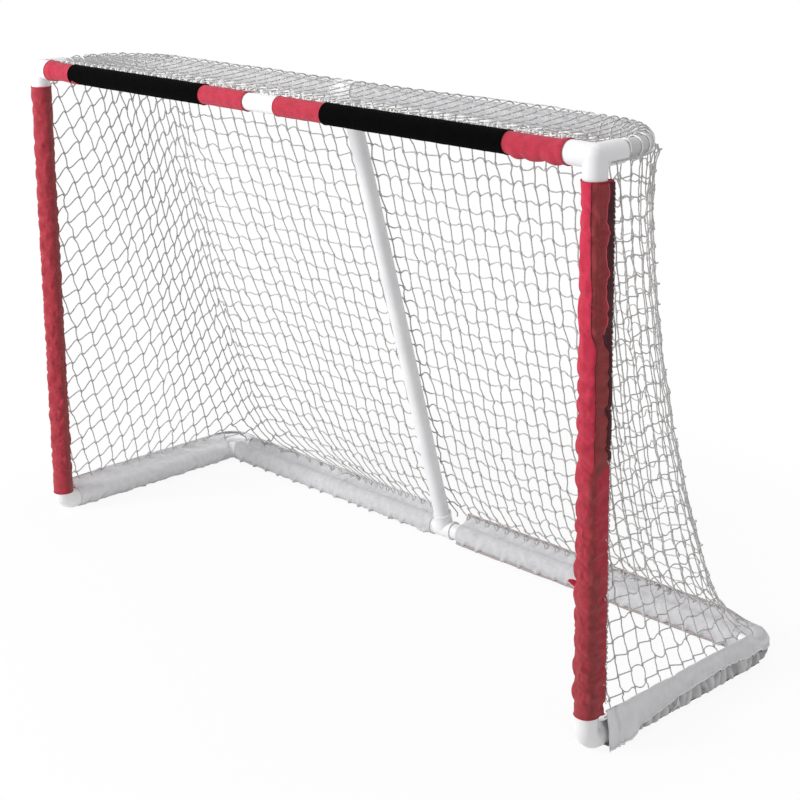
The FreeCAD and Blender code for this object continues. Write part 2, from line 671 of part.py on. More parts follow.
def lacing_point(side, share):
    """A point of the lacing at a share of its whole length."""
    start = size("fitting_leg") - (size("roof_depth") - size("rail_bend")) + 2 * cord
    finish = QUARTER * size("rail_bend") + size("lacing_tail")
    middle, heading = bend_point(side, start + share * (finish - start))
    angle = 2 * math.pi * size("lacing_turns") * share
    return middle + (heading * math.cos(angle) + Z * math.sin(angle)) * lacing_radius


def lacing_tangent(side, share):
    """The unit tangent of the lacing."""
    step = 0.00001
    return (lacing_point(side, share + step) - lacing_point(side, share - step)).normalize()


def arc_from(start, tangent, end):
    """The arc that leaves start along tangent and reaches end."""
    chord = end - start
    along = Vector(chord).normalize()
    bulge = tangent - along * tangent.dot(along)
    half_angle = math.atan2(bulge.Length, tangent.dot(along))
    middle = (start + end) / 2 + bulge.normalize() * (chord.Length / 2 * math.tan(half_angle / 2))
    return Part.Arc(start, middle, end).toShape()


def biarc(p0, t0, p1, t1):
    """Two arcs that join two points with the given tangents."""
    chord = p1 - p0
    total = t0 + t1
    spread = 2 * (1 - t0.dot(t1))
    lead = chord.dot(total)
    reach = (math.sqrt(lead ** 2 + spread * chord.dot(chord)) - lead) / spread
    joint = (p0 + t0 * reach + p1 - t1 * reach) / 2
    first = arc_from(p0, t0, joint)
    back = arc_from(p1, t1 * -1, joint)
    back.reverse()
    return [first, back]


def lacing(side):
    """One lacing cord, a tube along biarcs of a quarter turn."""
    quarters = 4 * round(size("lacing_turns"))
    edges = []
    for number in range(quarters):
        near = number / quarters
        far = (number + 1) / quarters
        edges += biarc(lacing_point(side, near), lacing_tangent(side, near),
                       lacing_point(side, far), lacing_tangent(side, far))
    path = Part.Wire(Part.sortEdges(edges)[0])
    section = Part.Wire(Part.makeCircle(half_cord, lacing_point(side, 0), lacing_tangent(side, 0)))
    shell = Part.BRepOffsetAPI.MakePipeShell(path)
    shell.add(section, False, False)
    shell.build()
    shell.makeSolid()
    return shell.shape(), path


def least_gap(side):
    """The least clear distance between turns of a lacing, measured on points along it."""
    turns = round(size("lacing_turns"))
    steps = 40
    count = turns * steps
    points = [lacing_point(side, n / count) for n in range(count + 1)]
    apart = [(points[a] - points[b]).Length
             for a in range(count) for b in range(a + steps // 2, count + 1)]
    return min(apart) - cord


for side, word in ((-1, "left"), (1, "right")):
    solid, path = lacing(side)
    soft_piece(f"lacing_{word}", solid)
    expected = math.pi * half_cord ** 2 * path.Length
    print(f"lacing_{word}: least gap to itself {least_gap(side):.1f} mm, length {path.Length:.0f} mm,"
          f" volume {solid.Volume:.0f} of {expected:.0f}")

# Checks and export
doc.recompute()
for obj in doc.Objects:
    if "Invalid" in obj.State or "Error" in obj.State:
        raise RuntimeError(f"{obj.Label} failed: {obj.State}")
for name, obj in parts.items():
    if obj.Shape.isNull() or not obj.Shape.isValid():
        raise RuntimeError(f"{name} has no valid shape")

os.makedirs("parts", exist_ok=True)
for name, obj in parts.items():
    obj.Shape.exportStep(f"parts/{name}.step")
    print(name, len(obj.Shape.Solids), "solid", round(obj.Shape.Volume), "cubic mm")
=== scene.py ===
# %% [markdown]
# A street-hockey goal, dressed for its portrait
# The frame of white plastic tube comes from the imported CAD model. Everything soft on it, the net,
# the red covers, the grey base covers, the dark banners and the lacing, is modelled here.

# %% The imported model
import math
import random

import bmesh
import bpy
from mathutils import Matrix, Vector, noise
from mathutils.bvhtree import BVHTree


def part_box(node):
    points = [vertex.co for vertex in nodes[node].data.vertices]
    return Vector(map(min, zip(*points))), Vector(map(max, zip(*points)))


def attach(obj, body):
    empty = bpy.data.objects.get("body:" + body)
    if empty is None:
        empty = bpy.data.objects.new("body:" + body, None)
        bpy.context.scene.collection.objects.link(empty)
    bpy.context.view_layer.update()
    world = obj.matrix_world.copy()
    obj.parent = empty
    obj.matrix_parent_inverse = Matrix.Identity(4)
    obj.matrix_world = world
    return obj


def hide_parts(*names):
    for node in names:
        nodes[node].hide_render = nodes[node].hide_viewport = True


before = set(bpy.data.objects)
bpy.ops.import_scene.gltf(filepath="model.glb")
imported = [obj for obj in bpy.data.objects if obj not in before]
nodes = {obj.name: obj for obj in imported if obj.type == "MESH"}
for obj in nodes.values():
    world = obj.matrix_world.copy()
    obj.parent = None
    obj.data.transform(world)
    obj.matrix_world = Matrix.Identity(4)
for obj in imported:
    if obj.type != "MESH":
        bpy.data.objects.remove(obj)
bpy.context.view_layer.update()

scene = bpy.context.scene

# %% [markdown]
# Where the frame is
# The soft pieces hang on the frame, so their places are read from the frame's own nodes. A tube's
# box gives its centre line, which is what a cover or a net is built around.

# %% Centre lines of the frame


def middle(node):
    """The middle of a node's box."""
    low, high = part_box(node)
    return (low + high) / 2


def level(angle, side=1):
    """The level direction at an angle from the goal's right, mirrored for the left side."""
    return Vector((side * math.cos(angle), math.sin(angle), 0))


def drift(*place):
    """Smooth noise, between -1 and 1, at a place given by its three numbers."""
    return noise.noise(Vector(place))


def new_object(name, data):
    """An object with this data, linked to the scene."""
    obj = bpy.data.objects.new(name, data)
    scene.collection.objects.link(obj)
    return obj


def settled(shape, name):
    """The mesh that a bmesh turns into."""
    mesh = bpy.data.meshes.new(name)
    shape.to_mesh(mesh)
    shape.free()
    return mesh


POST_X = middle("post_tube_right").x
FRONT_Y = middle("post_tube_right").y
BASE_Z = middle("base_side_tube_right").z
TOP_Z = middle("crossbar_tube_right").z
BACK_Y = middle("base_rear_tube_right").y
TUBE_R = 0.020
RAIL_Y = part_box("top_tube_right")[1].y - TUBE_R
RAIL_BEND = 0.190
LEAN = math.atan((BACK_Y - RAIL_Y) / (TOP_Z - BASE_Z))
X = Vector((1, 0, 0))
Y = Vector((0, 1, 0))
Z = Vector((0, 0, 1))
SIDES = ((-1, "left"), (1, "right"))
print("posts at", round(POST_X, 4), "rear rail at", round(BACK_Y, 4), "lean", round(math.degrees(LEAN), 1))

# %% [markdown]
# The camera
# The photograph was taken from the front right, above the goal, with the lens slid down so that the
# posts stay nearly upright. The place and the angles were found by matching the frame's corners. The
# slide is kept small, because it stays on in every other view.

# %% Camera
SENSOR = 36
PHOTO_WIDTH = 800
FOCAL_PIXELS = 1768.2
CAMERA_PLACE = (2.9507, -2.7639, 1.7757)
YAW, PITCH, ROLL = (math.radians(a) for a in (-45.912, -13.004, -0.5485))
camera = new_object("camera", bpy.data.cameras.new("camera"))
scene.camera = camera
camera.data.lens = SENSOR * FOCAL_PIXELS / PHOTO_WIDTH
camera.data.sensor_width = SENSOR
camera.data.shift_y = -0.2
camera.data.clip_start = 0.05
camera.data.clip_end = 60
turn = (Matrix.Rotation(-YAW, 4, "Z") @ Matrix.Rotation(math.pi / 2 + PITCH, 4, "X")
        @ Matrix.Rotation(ROLL, 4, "Z"))
camera.matrix_world = Matrix.Translation(CAMERA_PLACE) @ turn
print("lens", round(camera.data.lens, 1), "mm")

# %% [markdown]
# Node trees
# The backdrop and the finishes are small trees of shader nodes. One helper makes a node, fills its
# sockets with values or with the outputs of other nodes, and gives back an output, so that a tree
# reads like a formula.

# %% Helpers for node trees
WHITE = (1, 1, 1, 1)


def grow(tree, kind, sockets, output=0, **settings):
    """A new node with its settings made and its sockets filled or linked; gives one output."""
    node = tree.nodes.new("ShaderNode" + kind)
    for name, value in settings.items():
        setattr(node, name, value)
    for key, value in sockets.items():
        if isinstance(value, bpy.types.NodeSocket):
            tree.links.new(value, node.inputs[key])
        else:
            node.inputs[key].default_value = value
    return node.outputs[output] if node.outputs else None


def bare_tree(owner):
    """The empty node tree of a world or a material."""
    owner.use_nodes = True
    owner.node_tree.nodes.clear()
    return owner.node_tree


def arithmetic(tree, operation, first, second):
    """One Math node on two values."""
    return grow(tree, "Math", {0: first, 1: second}, operation=operation)


def stretched(tree, source, scale=(1, 1, 1)):
    """A coordinate, scaled along its three axes."""
    return grow(tree, "Mapping", {"Vector": grow(tree, "TexCoord", {}, source), "Scale": scale})


def clouds(tree, vector, scale, detail):
    """Noise at one scale."""
    return grow(tree, "TexNoise", {"Vector": vector, "Scale": scale, "Detail": detail}, "Fac")


# %% [markdown]
# The lamps
# The goal stands under soft light from the front left, so the faces of the posts that look to the
# right are in shade. Three area lamps do that. They are large, because a large lamp throws a soft
# shadow.

# %% Lamps


def area_lamp(name, place, target, size, power):
    """A square soft lamp that looks at a point."""
    lamp = new_object(name, bpy.data.lights.new(name, "AREA"))
    lamp.data.size = size
    lamp.data.energy = power
    lamp.location = place
    lamp.rotation_euler = (Vector(target) - Vector(place)).to_track_quat("-Z", "Y").to_euler()


area_lamp("key", (-2.6, -4.8, 3.0), (0, 0, 0.6), size=2.0, power=290)
area_lamp("fill", (4.5, -2.0, 3.0), (0, 0, 0.6), size=3.0, power=30)
area_lamp("top", (0.5, 1.0, 4.5), (0, 0, 0.5), size=3.0, power=50)

# %% [markdown]
# The white paper
# The goal stands on white paper that goes on behind it. A floor that is only lit would turn out grey,
# so this one is white to the camera by its own glow. Only the part under the goal takes a little of
# the shadow, and that part fades out within a metre and a half, so the picture's edges are plain
# white. To all other rays the surroundings are a dimmer light.

# %% White surroundings
FLOOR_HALF = 14
SHADOW_FROM, SHADOW_TO = 0.8, 1.6


def seen_directly(tree):
    """1 for rays that show the backdrop: straight from the camera, mirrored, or through glass."""
    camera_ray, glossy, through = (grow(tree, "LightPath", {}, f"Is {ray} Ray")
                                   for ray in ("Camera", "Glossy", "Transmission"))
    return arithmetic(tree, "MAXIMUM", arithmetic(tree, "MAXIMUM", camera_ray, glossy), through)


scene.world = bpy.data.worlds.new("studio")
tree = bare_tree(scene.world)
light = grow(tree, "Background", {"Color": WHITE, "Strength": 0.40})
paper = grow(tree, "Background", {"Color": WHITE, "Strength": 1.0})
backdrop = grow(tree, "MixShader", {"Fac": seen_directly(tree), 1: light, 2: paper})
grow(tree, "OutputWorld", {"Surface": backdrop})

floor_mesh = bmesh.new()
bmesh.ops.create_grid(floor_mesh, x_segments=1, y_segments=1, size=FLOOR_HALF)
floor = new_object("floor", settled(floor_mesh, "floor"))

floor_paper = bpy.data.materials.new("floor_paper")
tree = bare_tree(floor_paper)
plain = grow(tree, "BsdfDiffuse", {"Color": (0.85, 0.85, 0.85, 1)})
glow = grow(tree, "Emission", {"Color": WHITE, "Strength": 1.0})
away = grow(tree, "VectorMath", {0: grow(tree, "TexCoord", {}, "Object")}, "Value", operation="LENGTH")
fade = grow(tree, "MapRange", {"Value": away, "From Min": SHADOW_FROM, "From Max": SHADOW_TO,
                               "To Min": 0.90, "To Max": 1.0}, interpolation_type="SMOOTHSTEP")
share = arithmetic(tree, "MULTIPLY", seen_directly(tree), fade)
grow(tree, "OutputMaterial", {"Surface": grow(tree, "MixShader", {"Fac": share, 1: plain, 2: glow})})
floor.data.materials.append(floor_paper)
scene.view_settings.view_transform = "Standard"
print("floor", 2 * FLOOR_HALF, "m wide, with a shadow out to", SHADOW_TO, "m")

# %% [markdown]
# Finishes
# Every finish is a tree of procedural nodes round one principled shader. A coordinate goes through a
# pattern to the colour, the roughness or the bump.

# %% Helpers for finishes
# the scale at which a wave texture has one band to one unit
ONE_BAND = 0.314


def finish_with(name, roughness, specular, sheen=0.0):
    """A material with one principled shader, its node tree and the shader's sockets."""
    material = bpy.data.materials.new(name)
    material.use_nodes = True
    tree = material.node_tree
    sockets = next(n for n in tree.nodes if n.type == "BSDF_PRINCIPLED").inputs
    sockets["Roughness"].default_value = roughness
    sockets["Specular IOR Level"].default_value = specular
    sockets["Sheen Weight"].default_value = sheen
    return material, tree, sockets


def ramp(tree, value, light, dark, first, last):
    """A dark and a light colour laid along a value, between two places."""
    node = tree.nodes.new("ShaderNodeValToRGB")
    for element, place, colour in zip(node.color_ramp.elements, (first, last), (dark, light)):
        element.position = place
        element.color = (*colour, 1)
    tree.links.new(value, node.inputs["Fac"])
    return node.outputs["Color"]


def bump(tree, sockets, height, depth, strength):
    """Bump on a shader from a height between 0 and 1, depth metres deep."""
    normal = grow(tree, "Bump", {"Height": height, "Distance": depth, "Strength": strength}, "Normal")
    tree.links.new(normal, sockets["Normal"])


def threads(tree, vector, count):
    """A plain weave: two sets of ridges, count threads to one unit of the coordinate."""
    across, along = (grow(tree, "TexWave", {"Vector": vector, "Scale": count * ONE_BAND}, "Fac",
                          bands_direction=axis) for axis in "XY")
    return arithmetic(tree, "MULTIPLY", across, along)


# %% [markdown]
# White plastic
# The tubes and fittings are white moulded plastic. It isn't even: there are faint clouds in it, fine
# scratches along it, and the gloss changes from place to place. The bent top rail is a little greyer:
# painted shade.

# %% White plastic


def white_plastic(name, light, dark, roughness):
    """Moulded or drawn white plastic."""
    material, tree, sockets = finish_with(name, roughness, 0.45)
    place = stretched(tree, "Object")
    tree.links.new(ramp(tree, clouds(tree, place, 9.0, 5.0), light, dark, 0.3, 0.7), sockets["Base Color"])
    scuffs = clouds(tree, stretched(tree, "Object", (1, 1, 0.25)), 160.0, 4.0)
    gloss = arithmetic(tree, "ADD", arithmetic(tree, "MULTIPLY", scuffs, 0.25), roughness - 0.12)
    tree.links.new(gloss, sockets["Roughness"])
    bump(tree, sockets, clouds(tree, place, 240.0, 2.0), 0.00012, 0.6)
    return material


tube_plastic = white_plastic("tube_plastic", (0.83, 0.83, 0.84), (0.74, 0.74, 0.755), 0.42)
# a greyer copy of the white plastic: painted shade for the top rail, which stands in shade
shaded_rail_plastic = white_plastic("shaded_rail_plastic", (0.56, 0.56, 0.575), (0.49, 0.49, 0.51), 0.5)
fitting_plastic = white_plastic("fitting_plastic", (0.85, 0.85, 0.86), (0.78, 0.78, 0.795), 0.36)


def dress(node, material):
    """Gives a CAD node its finish."""
    data = nodes[node].data
    if not data.materials:
        data.materials.append(material)
    for index in range(len(data.materials)):
        data.materials[index] = material


for node in nodes:
    if node.startswith("top_tube_"):
        dress(node, shaded_rail_plastic)
    elif "_tube_" in node or node in ("brace_tube", "crossbar_splice"):
        dress(node, tube_plastic)
    elif "_elbow_" in node or "_corner_" in node or node.endswith("_tee"):
        dress(node, fitting_plastic)
print("greyer:", [node for node in nodes if node.startswith("top_tube_")])

# %% [markdown]
# Fabrics
# The covers are woven polyester. Each has an own weave on its UV map, which is laid out in metres, so
# the threads have the same size on every piece and follow its folds.

# %% Fabrics


def woven(name, light, dark, roughness=0.8, sheen=0.1, second=None):
    """Woven cloth, darker between the threads; its attribute "second" mixes in darker colours that paint
    shade.
    """
    material, tree, sockets = finish_with(name, roughness, 0.25 if sheen else 0.03, sheen)
    sockets["Sheen Roughness"].default_value = 0.5
    uv = stretched(tree, "UV")
    weave = threads(tree, uv, 1400)
    tone = arithmetic(tree, "ADD", arithmetic(tree, "MULTIPLY", weave, 0.22),
                      arithmetic(tree, "MULTIPLY", clouds(tree, uv, 55.0, 6.0), 0.78))
    colour = ramp(tree, tone, light, dark, 0.25, 0.62)
    if second:
        share = grow(tree, "Attribute", {}, "Fac", attribute_name="second")
        colour = grow(tree, "Mix", {0: share, 6: colour, 7: ramp(tree, tone, *second, 0.25, 0.62)}, 2,
                      data_type="RGBA")
    tree.links.new(colour, sockets["Base Color"])
    bump(tree, sockets, weave, 0.00035, 0.7)
    return material


red_cloth = woven("red_cloth", (0.56, 0.031, 0.070), (0.39, 0.020, 0.042))
# the post covers' second colours are browner and darker: painted shade
post_cloth = woven("post_cloth", (0.73, 0.029, 0.088), (0.53, 0.019, 0.056),
                   second=((0.34, 0.046, 0.051), (0.225, 0.030, 0.032)))
# a lighter red for the right cover's lip: a painted highlight on its curled edge
painted_highlight_red = woven("painted_highlight_red", (0.78, 0.17, 0.18), (0.62, 0.10, 0.12))
# the grey and flap cloths are lighter copies of the rear covers' fabric: painted light for side faces that
# stand in shade
grey_cloth = woven("grey_cloth", (0.88, 0.88, 0.895), (0.75, 0.75, 0.77), 0.85,
                   second=((0.60, 0.595, 0.60), (0.36, 0.355, 0.36)))
black_cloth = woven("black_cloth", (0.0020, 0.0018, 0.0020), (0.001, 0.001, 0.001), 0.95, 0.0)
white_binding = woven("white_binding", (0.98, 0.98, 0.98), (0.94, 0.94, 0.94), 0.7, 0.6)
# dark grey: the painted shadow under the flaps' edges and the lines along the soles
dark_grey_cloth = woven("dark_grey_cloth", (0.055, 0.055, 0.06), (0.03, 0.03, 0.033), 0.85, 0.05)
# dark red: the painted shade sheet and painted lap shadow of the right cover, and the strips up the fins
dark_red_cloth = woven("dark_red_cloth", (0.085, 0.014, 0.020), (0.040, 0.008, 0.011), 0.8, 0.05)
# the rear covers' cloth is the darker copy of the same fabric, for faces in full light
pale_cloth = woven("pale_cloth", (0.66, 0.66, 0.675), (0.54, 0.54, 0.56), 0.85)
flap_cloth = woven("flap_cloth", (0.85, 0.85, 0.865), (0.76, 0.76, 0.78),
                   second=((0.60, 0.60, 0.61), (0.50, 0.50, 0.515)))
hem_thread = woven("hem_thread", (0.50, 0.43, 0.415), (0.36, 0.30, 0.29), 0.85)


def twine(name, light, dark):
    """Twisted cord: pale, with short dark flecks where the strands part."""
    material, tree, sockets = finish_with(name, 0.85, 0.2, 0.2)
    place = stretched(tree, "Object")
    flecks = clouds(tree, place, 420.0, 2.0)
    tree.links.new(ramp(tree, flecks, light, dark, 0.35, 0.6), sockets["Base Color"])
    bump(tree, sockets, clouds(tree, place, 900.0, 1.0), 0.0004, 0.8)
    return material


net_twine = twine("net_twine", (0.62, 0.615, 0.61), (0.34, 0.335, 0.335))
lacing_twine = twine("lacing_twine", (0.97, 0.965, 0.96), (0.80, 0.79, 0.785))
print("cloths and twines:", [material.name for material in bpy.data.materials
                             if material.name.endswith(("cloth", "fin_strip", "thread", "twine"))])

# %% [markdown]
# The lacing
# A cord is wound round each bend of the top rail and holds the net there. It is a NURBS spline with a
# round bevel: twelve control points a turn keep it round, and they stand a little further out than
# the cord, because such a spline cuts inside its points.

# %% Lacing cords
LACING_TURNS = 9
LACING_R = 0.0224
CORD = 0.003
BEND_X = POST_X - RAIL_BEND
BEND_Y = RAIL_Y - RAIL_BEND


def rail_place(side, distance):
    """A point of the top rail's centre line from the start of its bend, and its outward direction."""
    centre = Vector((side * BEND_X, BEND_Y, TOP_Z))
    quarter = math.pi / 2 * RAIL_BEND
    if distance < 0:
        return centre + Vector((side * RAIL_BEND, distance, 0)), Vector((side, 0, 0))
    if distance > quarter:
        return centre + Vector((side * (quarter - distance), RAIL_BEND, 0)), Y.copy()
    angle = distance / RAIL_BEND
    heading = level(angle, side)
    return centre + heading * RAIL_BEND, heading


def lacing_place(side, share):
    """A point of the lacing at a share of its length."""
    start = 0.070 - (RAIL_Y - FRONT_Y - RAIL_BEND) + 2 * CORD
    finish = math.pi / 2 * RAIL_BEND + 0.020
    place, heading = rail_place(side, start + share * (finish - start))
    angle = math.tau * LACING_TURNS * share
    return place + (heading * math.cos(angle) + Z * math.sin(angle)) * LACING_R


print("the lacing's turns are", round((lacing_place(1, 1 / LACING_TURNS) - lacing_place(1, 0)).length, 4),
      "m apart")

# %% [markdown]
# From a path to a cord
# A curve object with a round bevel is the plain way to make a cord, because only its path is given
# and every thickness comes from one radius. The same helper serves the net's thinner strands.

# %% Round curves and the two cords


def one_finish(mesh, material):
    """Makes a mesh smooth and gives it one material."""
    mesh.polygons.foreach_set("use_smooth", [True] * len(mesh.polygons))
    mesh.materials.clear()
    mesh.materials.append(material)


def round_curve(name, radius, resolution=1):
    """A curve whose splines are drawn as round cords."""
    data = bpy.data.curves.new(name, "CURVE")
    data.dimensions = "3D"
    data.bevel_depth = radius
    data.bevel_resolution = resolution
    data.use_fill_caps = True
    return data


def lacing_cord(side, word):
    """One wound cord."""
    data = round_curve(f"lacing_{word}_cord", CORD / 2, 2)
    spline = data.splines.new("NURBS")
    count = 12 * LACING_TURNS + 1
    spline.points.add(count - 1)
    for n, point in enumerate(spline.points):
        point.co = (*lacing_place(side, n / (count - 1)), 1)
    spline.order_u = 3
    spline.use_endpoint_u = True
    spline.resolution_u = 3
    data.materials.append(lacing_twine)
    obj = new_object(f"lacing_{word}_cord", data)
    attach(obj, "root")
    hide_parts(f"lacing_{word}")
    lacing_place(side, 0)


for side, word in SIDES:
    lacing_cord(side, word)
    print("lacing", word, "starts at", [round(value, 3) for value in lacing_place(side, 0)])

# %% [markdown]
# The shape of the net
# The net is one length of knotted mesh that wraps round both rear corners, goes up over the top rail
# and forward to the crossbar. It is pulled taut, so it rounds the corners and draws in between the
# rails. One function gives a point of it from the distance round the goal and the height.

# %% The surface that the net lies in
NET_X = POST_X + 0.0261
NET_FOOT = BASE_Z + 0.044
NET_HEAD = TOP_Z + 0.010
NET_OFF = 0.0261
ROUND = 0.216
WAIST = 0.057
RAIL_UNDER = TOP_Z - TUBE_R - 0.006
SIDE_FRONT = FRONT_Y + 0.021


def smooth(low, high, value):
    """0 below low, 1 above high, and smooth between."""
    t = min(max((value - low) / (high - low), 0), 1)
    return t * t * (3 - 2 * t)


def plateau(first, start, end, last, value):
    """0 outside first and last, 1 between start and end, and smooth between."""
    return smooth(first, start, value) * (1 - smooth(end, last, value))


def net_round(z):
    """Radius of the net's rear corners at one height: the net flares out again near the floor."""
    return ROUND - 0.106 * math.exp(-max(z - NET_FOOT, 0) / 0.030)


def net_rear_y(z):
    """Where the rear of the net stands at one height."""
    return BACK_Y + NET_OFF / math.cos(LEAN) - (z - BASE_Z) * math.tan(LEAN)


def half_girth(z, radius=ROUND):
    """Distance along the net from the middle of the rear to a post, round corners of one radius."""
    return (NET_X - radius) + math.pi / 2 * radius + (net_rear_y(z) - radius - SIDE_FRONT)


def net_place(s, z, out=0.0):
    """A point of the net, s round from the middle of the rear, at height z, out metres outwards."""
    side = 1 if s >= 0 else -1
    s = abs(s)
    radius = net_round(z)
    flat = NET_X - radius
    # tighter corners make the way round longer, so the corner's strands are spread along it
    if s > NET_X - ROUND:
        s = half_girth(z, radius) - (half_girth(z) - s)
    elif s > NET_X - ROUND - 0.25:
        s += (half_girth(z, radius) - half_girth(z)) * smooth(NET_X - ROUND - 0.25, NET_X - ROUND, s)
    arc = math.pi / 2 * radius
    rear = net_rear_y(z)
    lift = (z - NET_FOOT) / (RAIL_UNDER - NET_FOOT)
    waist = WAIST * math.sin(math.pi * lift) ** 0.6 if 0 < lift < 1 else 0.0
    if s < flat:
        near = 0.30 + 0.70 * math.exp(-((flat - s) / 0.16) ** 2)
        waist *= near * (1 - math.exp(-((side * s + 0.047) / 0.20) ** 2))
        normal = Vector((0, math.cos(LEAN), math.sin(LEAN)))
        place = Vector((side * s, rear, z))
    elif s < flat + arc:
        angle = math.pi / 2 - (s - flat) / radius
        normal = level(angle, side)
        place = Vector((side * flat, rear - radius, z)) + normal * radius
    else:
        way = s - flat - arc
        whole = max(rear - radius - SIDE_FRONT, 0.05)
        waist *= max(1 - way / whole, 0)
        normal = Vector((side, 0, 0))
        place = Vector((side * NET_X, rear - radius - way, z))
    return place + normal * (out - waist)


print("half girth", round(half_girth(NET_FOOT), 3), "at the foot and", round(half_girth(NET_HEAD), 3),
      "at the head")

# %% [markdown]
# Over the rail
# The roof of the net lies on the top rail, turns over it and runs forward to the crossbar with a small
# dip. It is a second surface, measured by the distance forward from where the net leaves the rear.

# %% The surface of the roof
RAIL_TOP = 0.0240
RAIL_ARC = (math.pi / 2 - LEAN) * RAIL_TOP
Z_TURN = TOP_Z + RAIL_TOP * math.sin(LEAN)
ROOF_END = 0.012


def edge_y(x):
    """Centre line of the top rail and its bends at one distance from the middle."""
    beyond = max(abs(x) - BEND_X, 0)
    return BEND_Y + math.sqrt(max(RAIL_BEND ** 2 - beyond ** 2, 0))


def roof_place(x, forward, out=0.0):
    """A point of the net on the rail and the roof, forward metres from where it leaves the rear."""
    y = edge_y(x)
    if forward < RAIL_ARC:
        angle = LEAN + forward / RAIL_TOP
        heading = Vector((0, math.cos(angle), math.sin(angle)))
        return Vector((x, y, TOP_Z)) + heading * (RAIL_TOP + out)
    way = forward - RAIL_ARC
    whole = max(y - FRONT_Y - ROOF_END, 0.02)
    share = min(way / whole, 1)
    dip = 0.010 * math.sin(math.pi * share) + 0.003 * share
    return Vector((x, y - way, TOP_Z + RAIL_TOP - dip + out))


print("the net turns over the rail in", round(1000 * RAIL_ARC), "mm")

# %% [markdown]
# The strands of the net
# The mesh has taut strands that run up the net and slack ones that join them from knot to knot.
# Strands are counted by column, and a table says how far round the goal each column is, at the foot
# and at the head, because the net is spread and gathered differently from place to place. A strand
# is a run of curve points: the point's radius swells where a knot is. The curves become one mesh for
# each panel.

# %% The columns of the net
STEP = 0.036
COLUMNS = 43
BAR = 0.0404


def spread(column, lift):
    """How wide one column is at foot (lift 0) or head (lift 1), as a share of its step."""
    q = abs(column + 0.5) * STEP
    if column + 0.5 < 0:
        rear, corner = 0.90 + 0.25 * lift, 1.08 - 0.42 * lift
    else:
        rear, corner = 0.93 + 0.13 * lift, 1.08 - 0.22 * lift
    into_corner = smooth(0.56, 0.68, q)
    past_corner = smooth(0.94, 1.06, q)
    width = rear + (corner - rear) * into_corner
    return width + (1.12 - width) * past_corner


column_foot = {0: 0.0}
column_head = {0: 0.0}
for table, lift in ((column_foot, 0), (column_head, 1)):
    for n in range(COLUMNS + 6):
        table[n + 1] = table[n] + spread(n, lift) * STEP
        table[-n - 1] = table[-n] - spread(-n - 1, lift) * STEP


def column_rise(column):
    """How far a row of knots climbs over one column, in bars."""
    q = (column + 0.5) * STEP
    if q < -0.62:
        return (0.26 + 0.34 * smooth(-1.40, -1.16, q)) * (1 - smooth(-0.84, -0.66, q))
    return 0.04 * smooth(-0.1, 0.3, q) - 0.02 * (1 - smooth(-0.1, 0.3, q))


row_shift = {0: 0.35}
for n in range(COLUMNS + 6):
    row_shift[n + 1] = row_shift[n] + column_rise(n)
    row_shift[-n - 1] = row_shift[-n] - column_rise(-n - 1)

draw = random.Random(11)


def wander(column, row):
    """Small random shift of one knot: sideways, up and outwards, the same whenever it is asked for."""
    own = random.Random(column * 7919 + row * 104729 + 5)
    return own.gauss(0, 0.0024), own.gauss(0, 0.0024), own.gauss(0, 0.0014)


def strand_s(column, z):
    """How far round the goal one strand is at one height."""
    lift = (z - NET_FOOT) / (NET_HEAD - NET_FOOT)
    s = column_foot[column] + (column_head[column] - column_foot[column]) * lift
    # the mesh is dragged to the right along the rear rail, most of all at the left corner
    corner = plateau(-0.94, -0.72, -0.52, -0.22, s)
    rail = plateau(-0.45, -0.25, 0.50, 0.70, s)
    near = math.exp(-max(z - NET_FOOT, 0) / 0.042)
    s += (0.13 * corner + 0.045 * rail) * near
    return s + 0.008 * drift(s * 3.1, z * 2.3, 4.7)


def knot(column, row):
    """Where a knot is: round the goal, up, and outwards."""
    z = NET_FOOT - 0.030 + BAR * (row + row_shift[column] % 1)
    side, up, out = wander(column, row)
    return strand_s(column, z) + side, z + up, out


def row_offset(column):
    """Whole bars by which the rows of one column are counted up."""
    return math.floor(row_shift[column])


print(2 * COLUMNS + 1, "columns, the last at", round(column_foot[COLUMNS], 3), "m along the foot")

# %% [markdown]
# Curves that become meshes
# A panel has hundreds of strands. All of them go into one curve with a round bevel, as straight runs
# from point to point, and the curve is turned into one mesh at the end. That is much quicker than an
# object for each strand.

# %% Curves for the panels
THREAD = 0.00142
KNOT = 1.9
HALF_KNOT = 0.0036


class Strands:
    """Round cords gathered in one curve, such as those of one panel of the net."""

    def __init__(self, name, radius):
        self.name = name
        self.data = round_curve(name, radius)

    def run(self, points):
        """Adds one strand through (place, share of the radius) pairs."""
        if len(points) < 2:
            return
        spline = self.data.splines.new("POLY")
        spline.points.add(len(points) - 1)
        for point, (place, radius) in zip(spline.points, points):
            point.co = (*place, 1)
            point.radius = radius

    def piece(self, material):
        """The mesh object of the strands."""
        curve = new_object(f"{self.name}_curve", self.data)
        bpy.context.view_layer.update()
        evaluated = curve.evaluated_get(bpy.context.evaluated_depsgraph_get())
        mesh = bpy.data.meshes.new_from_object(evaluated)
        bpy.data.objects.remove(curve)
        one_finish(mesh, material)
        return new_object(self.name, mesh)


rear = Strands("net_rear_panel", 1.2 * THREAD)
left = Strands("net_left_panel", 1.2 * THREAD)
right = Strands("net_right_panel", 0.96 * THREAD)
roof = Strands("net_roof_panel", THREAD)
print("strands", [round(2000 * panel.data.bevel_depth, 2) for panel in (rear, left, right, roof)],
      "mm thick on the rear, left, right and roof")

# %% [markdown]
# Taut strands
# These run up the net from its foot to the top rail. Each is a row of knots with thin stretches
# between them, and a strand that meets a post ends there.

# %% Taut strands
REAR_COLUMNS = 19
SELVEDGE_Z = TOP_Z - 0.0125
SELVEDGE_IN = -0.0045


def panel_of(column):
    """The panel that a column belongs to."""
    if abs(column) <= REAR_COLUMNS:
        return rear
    return left if column < 0 else right


def inside(s, z):
    """Whether a point lies on the net, and not past a post."""
    return abs(s) < half_girth(z) - 0.002


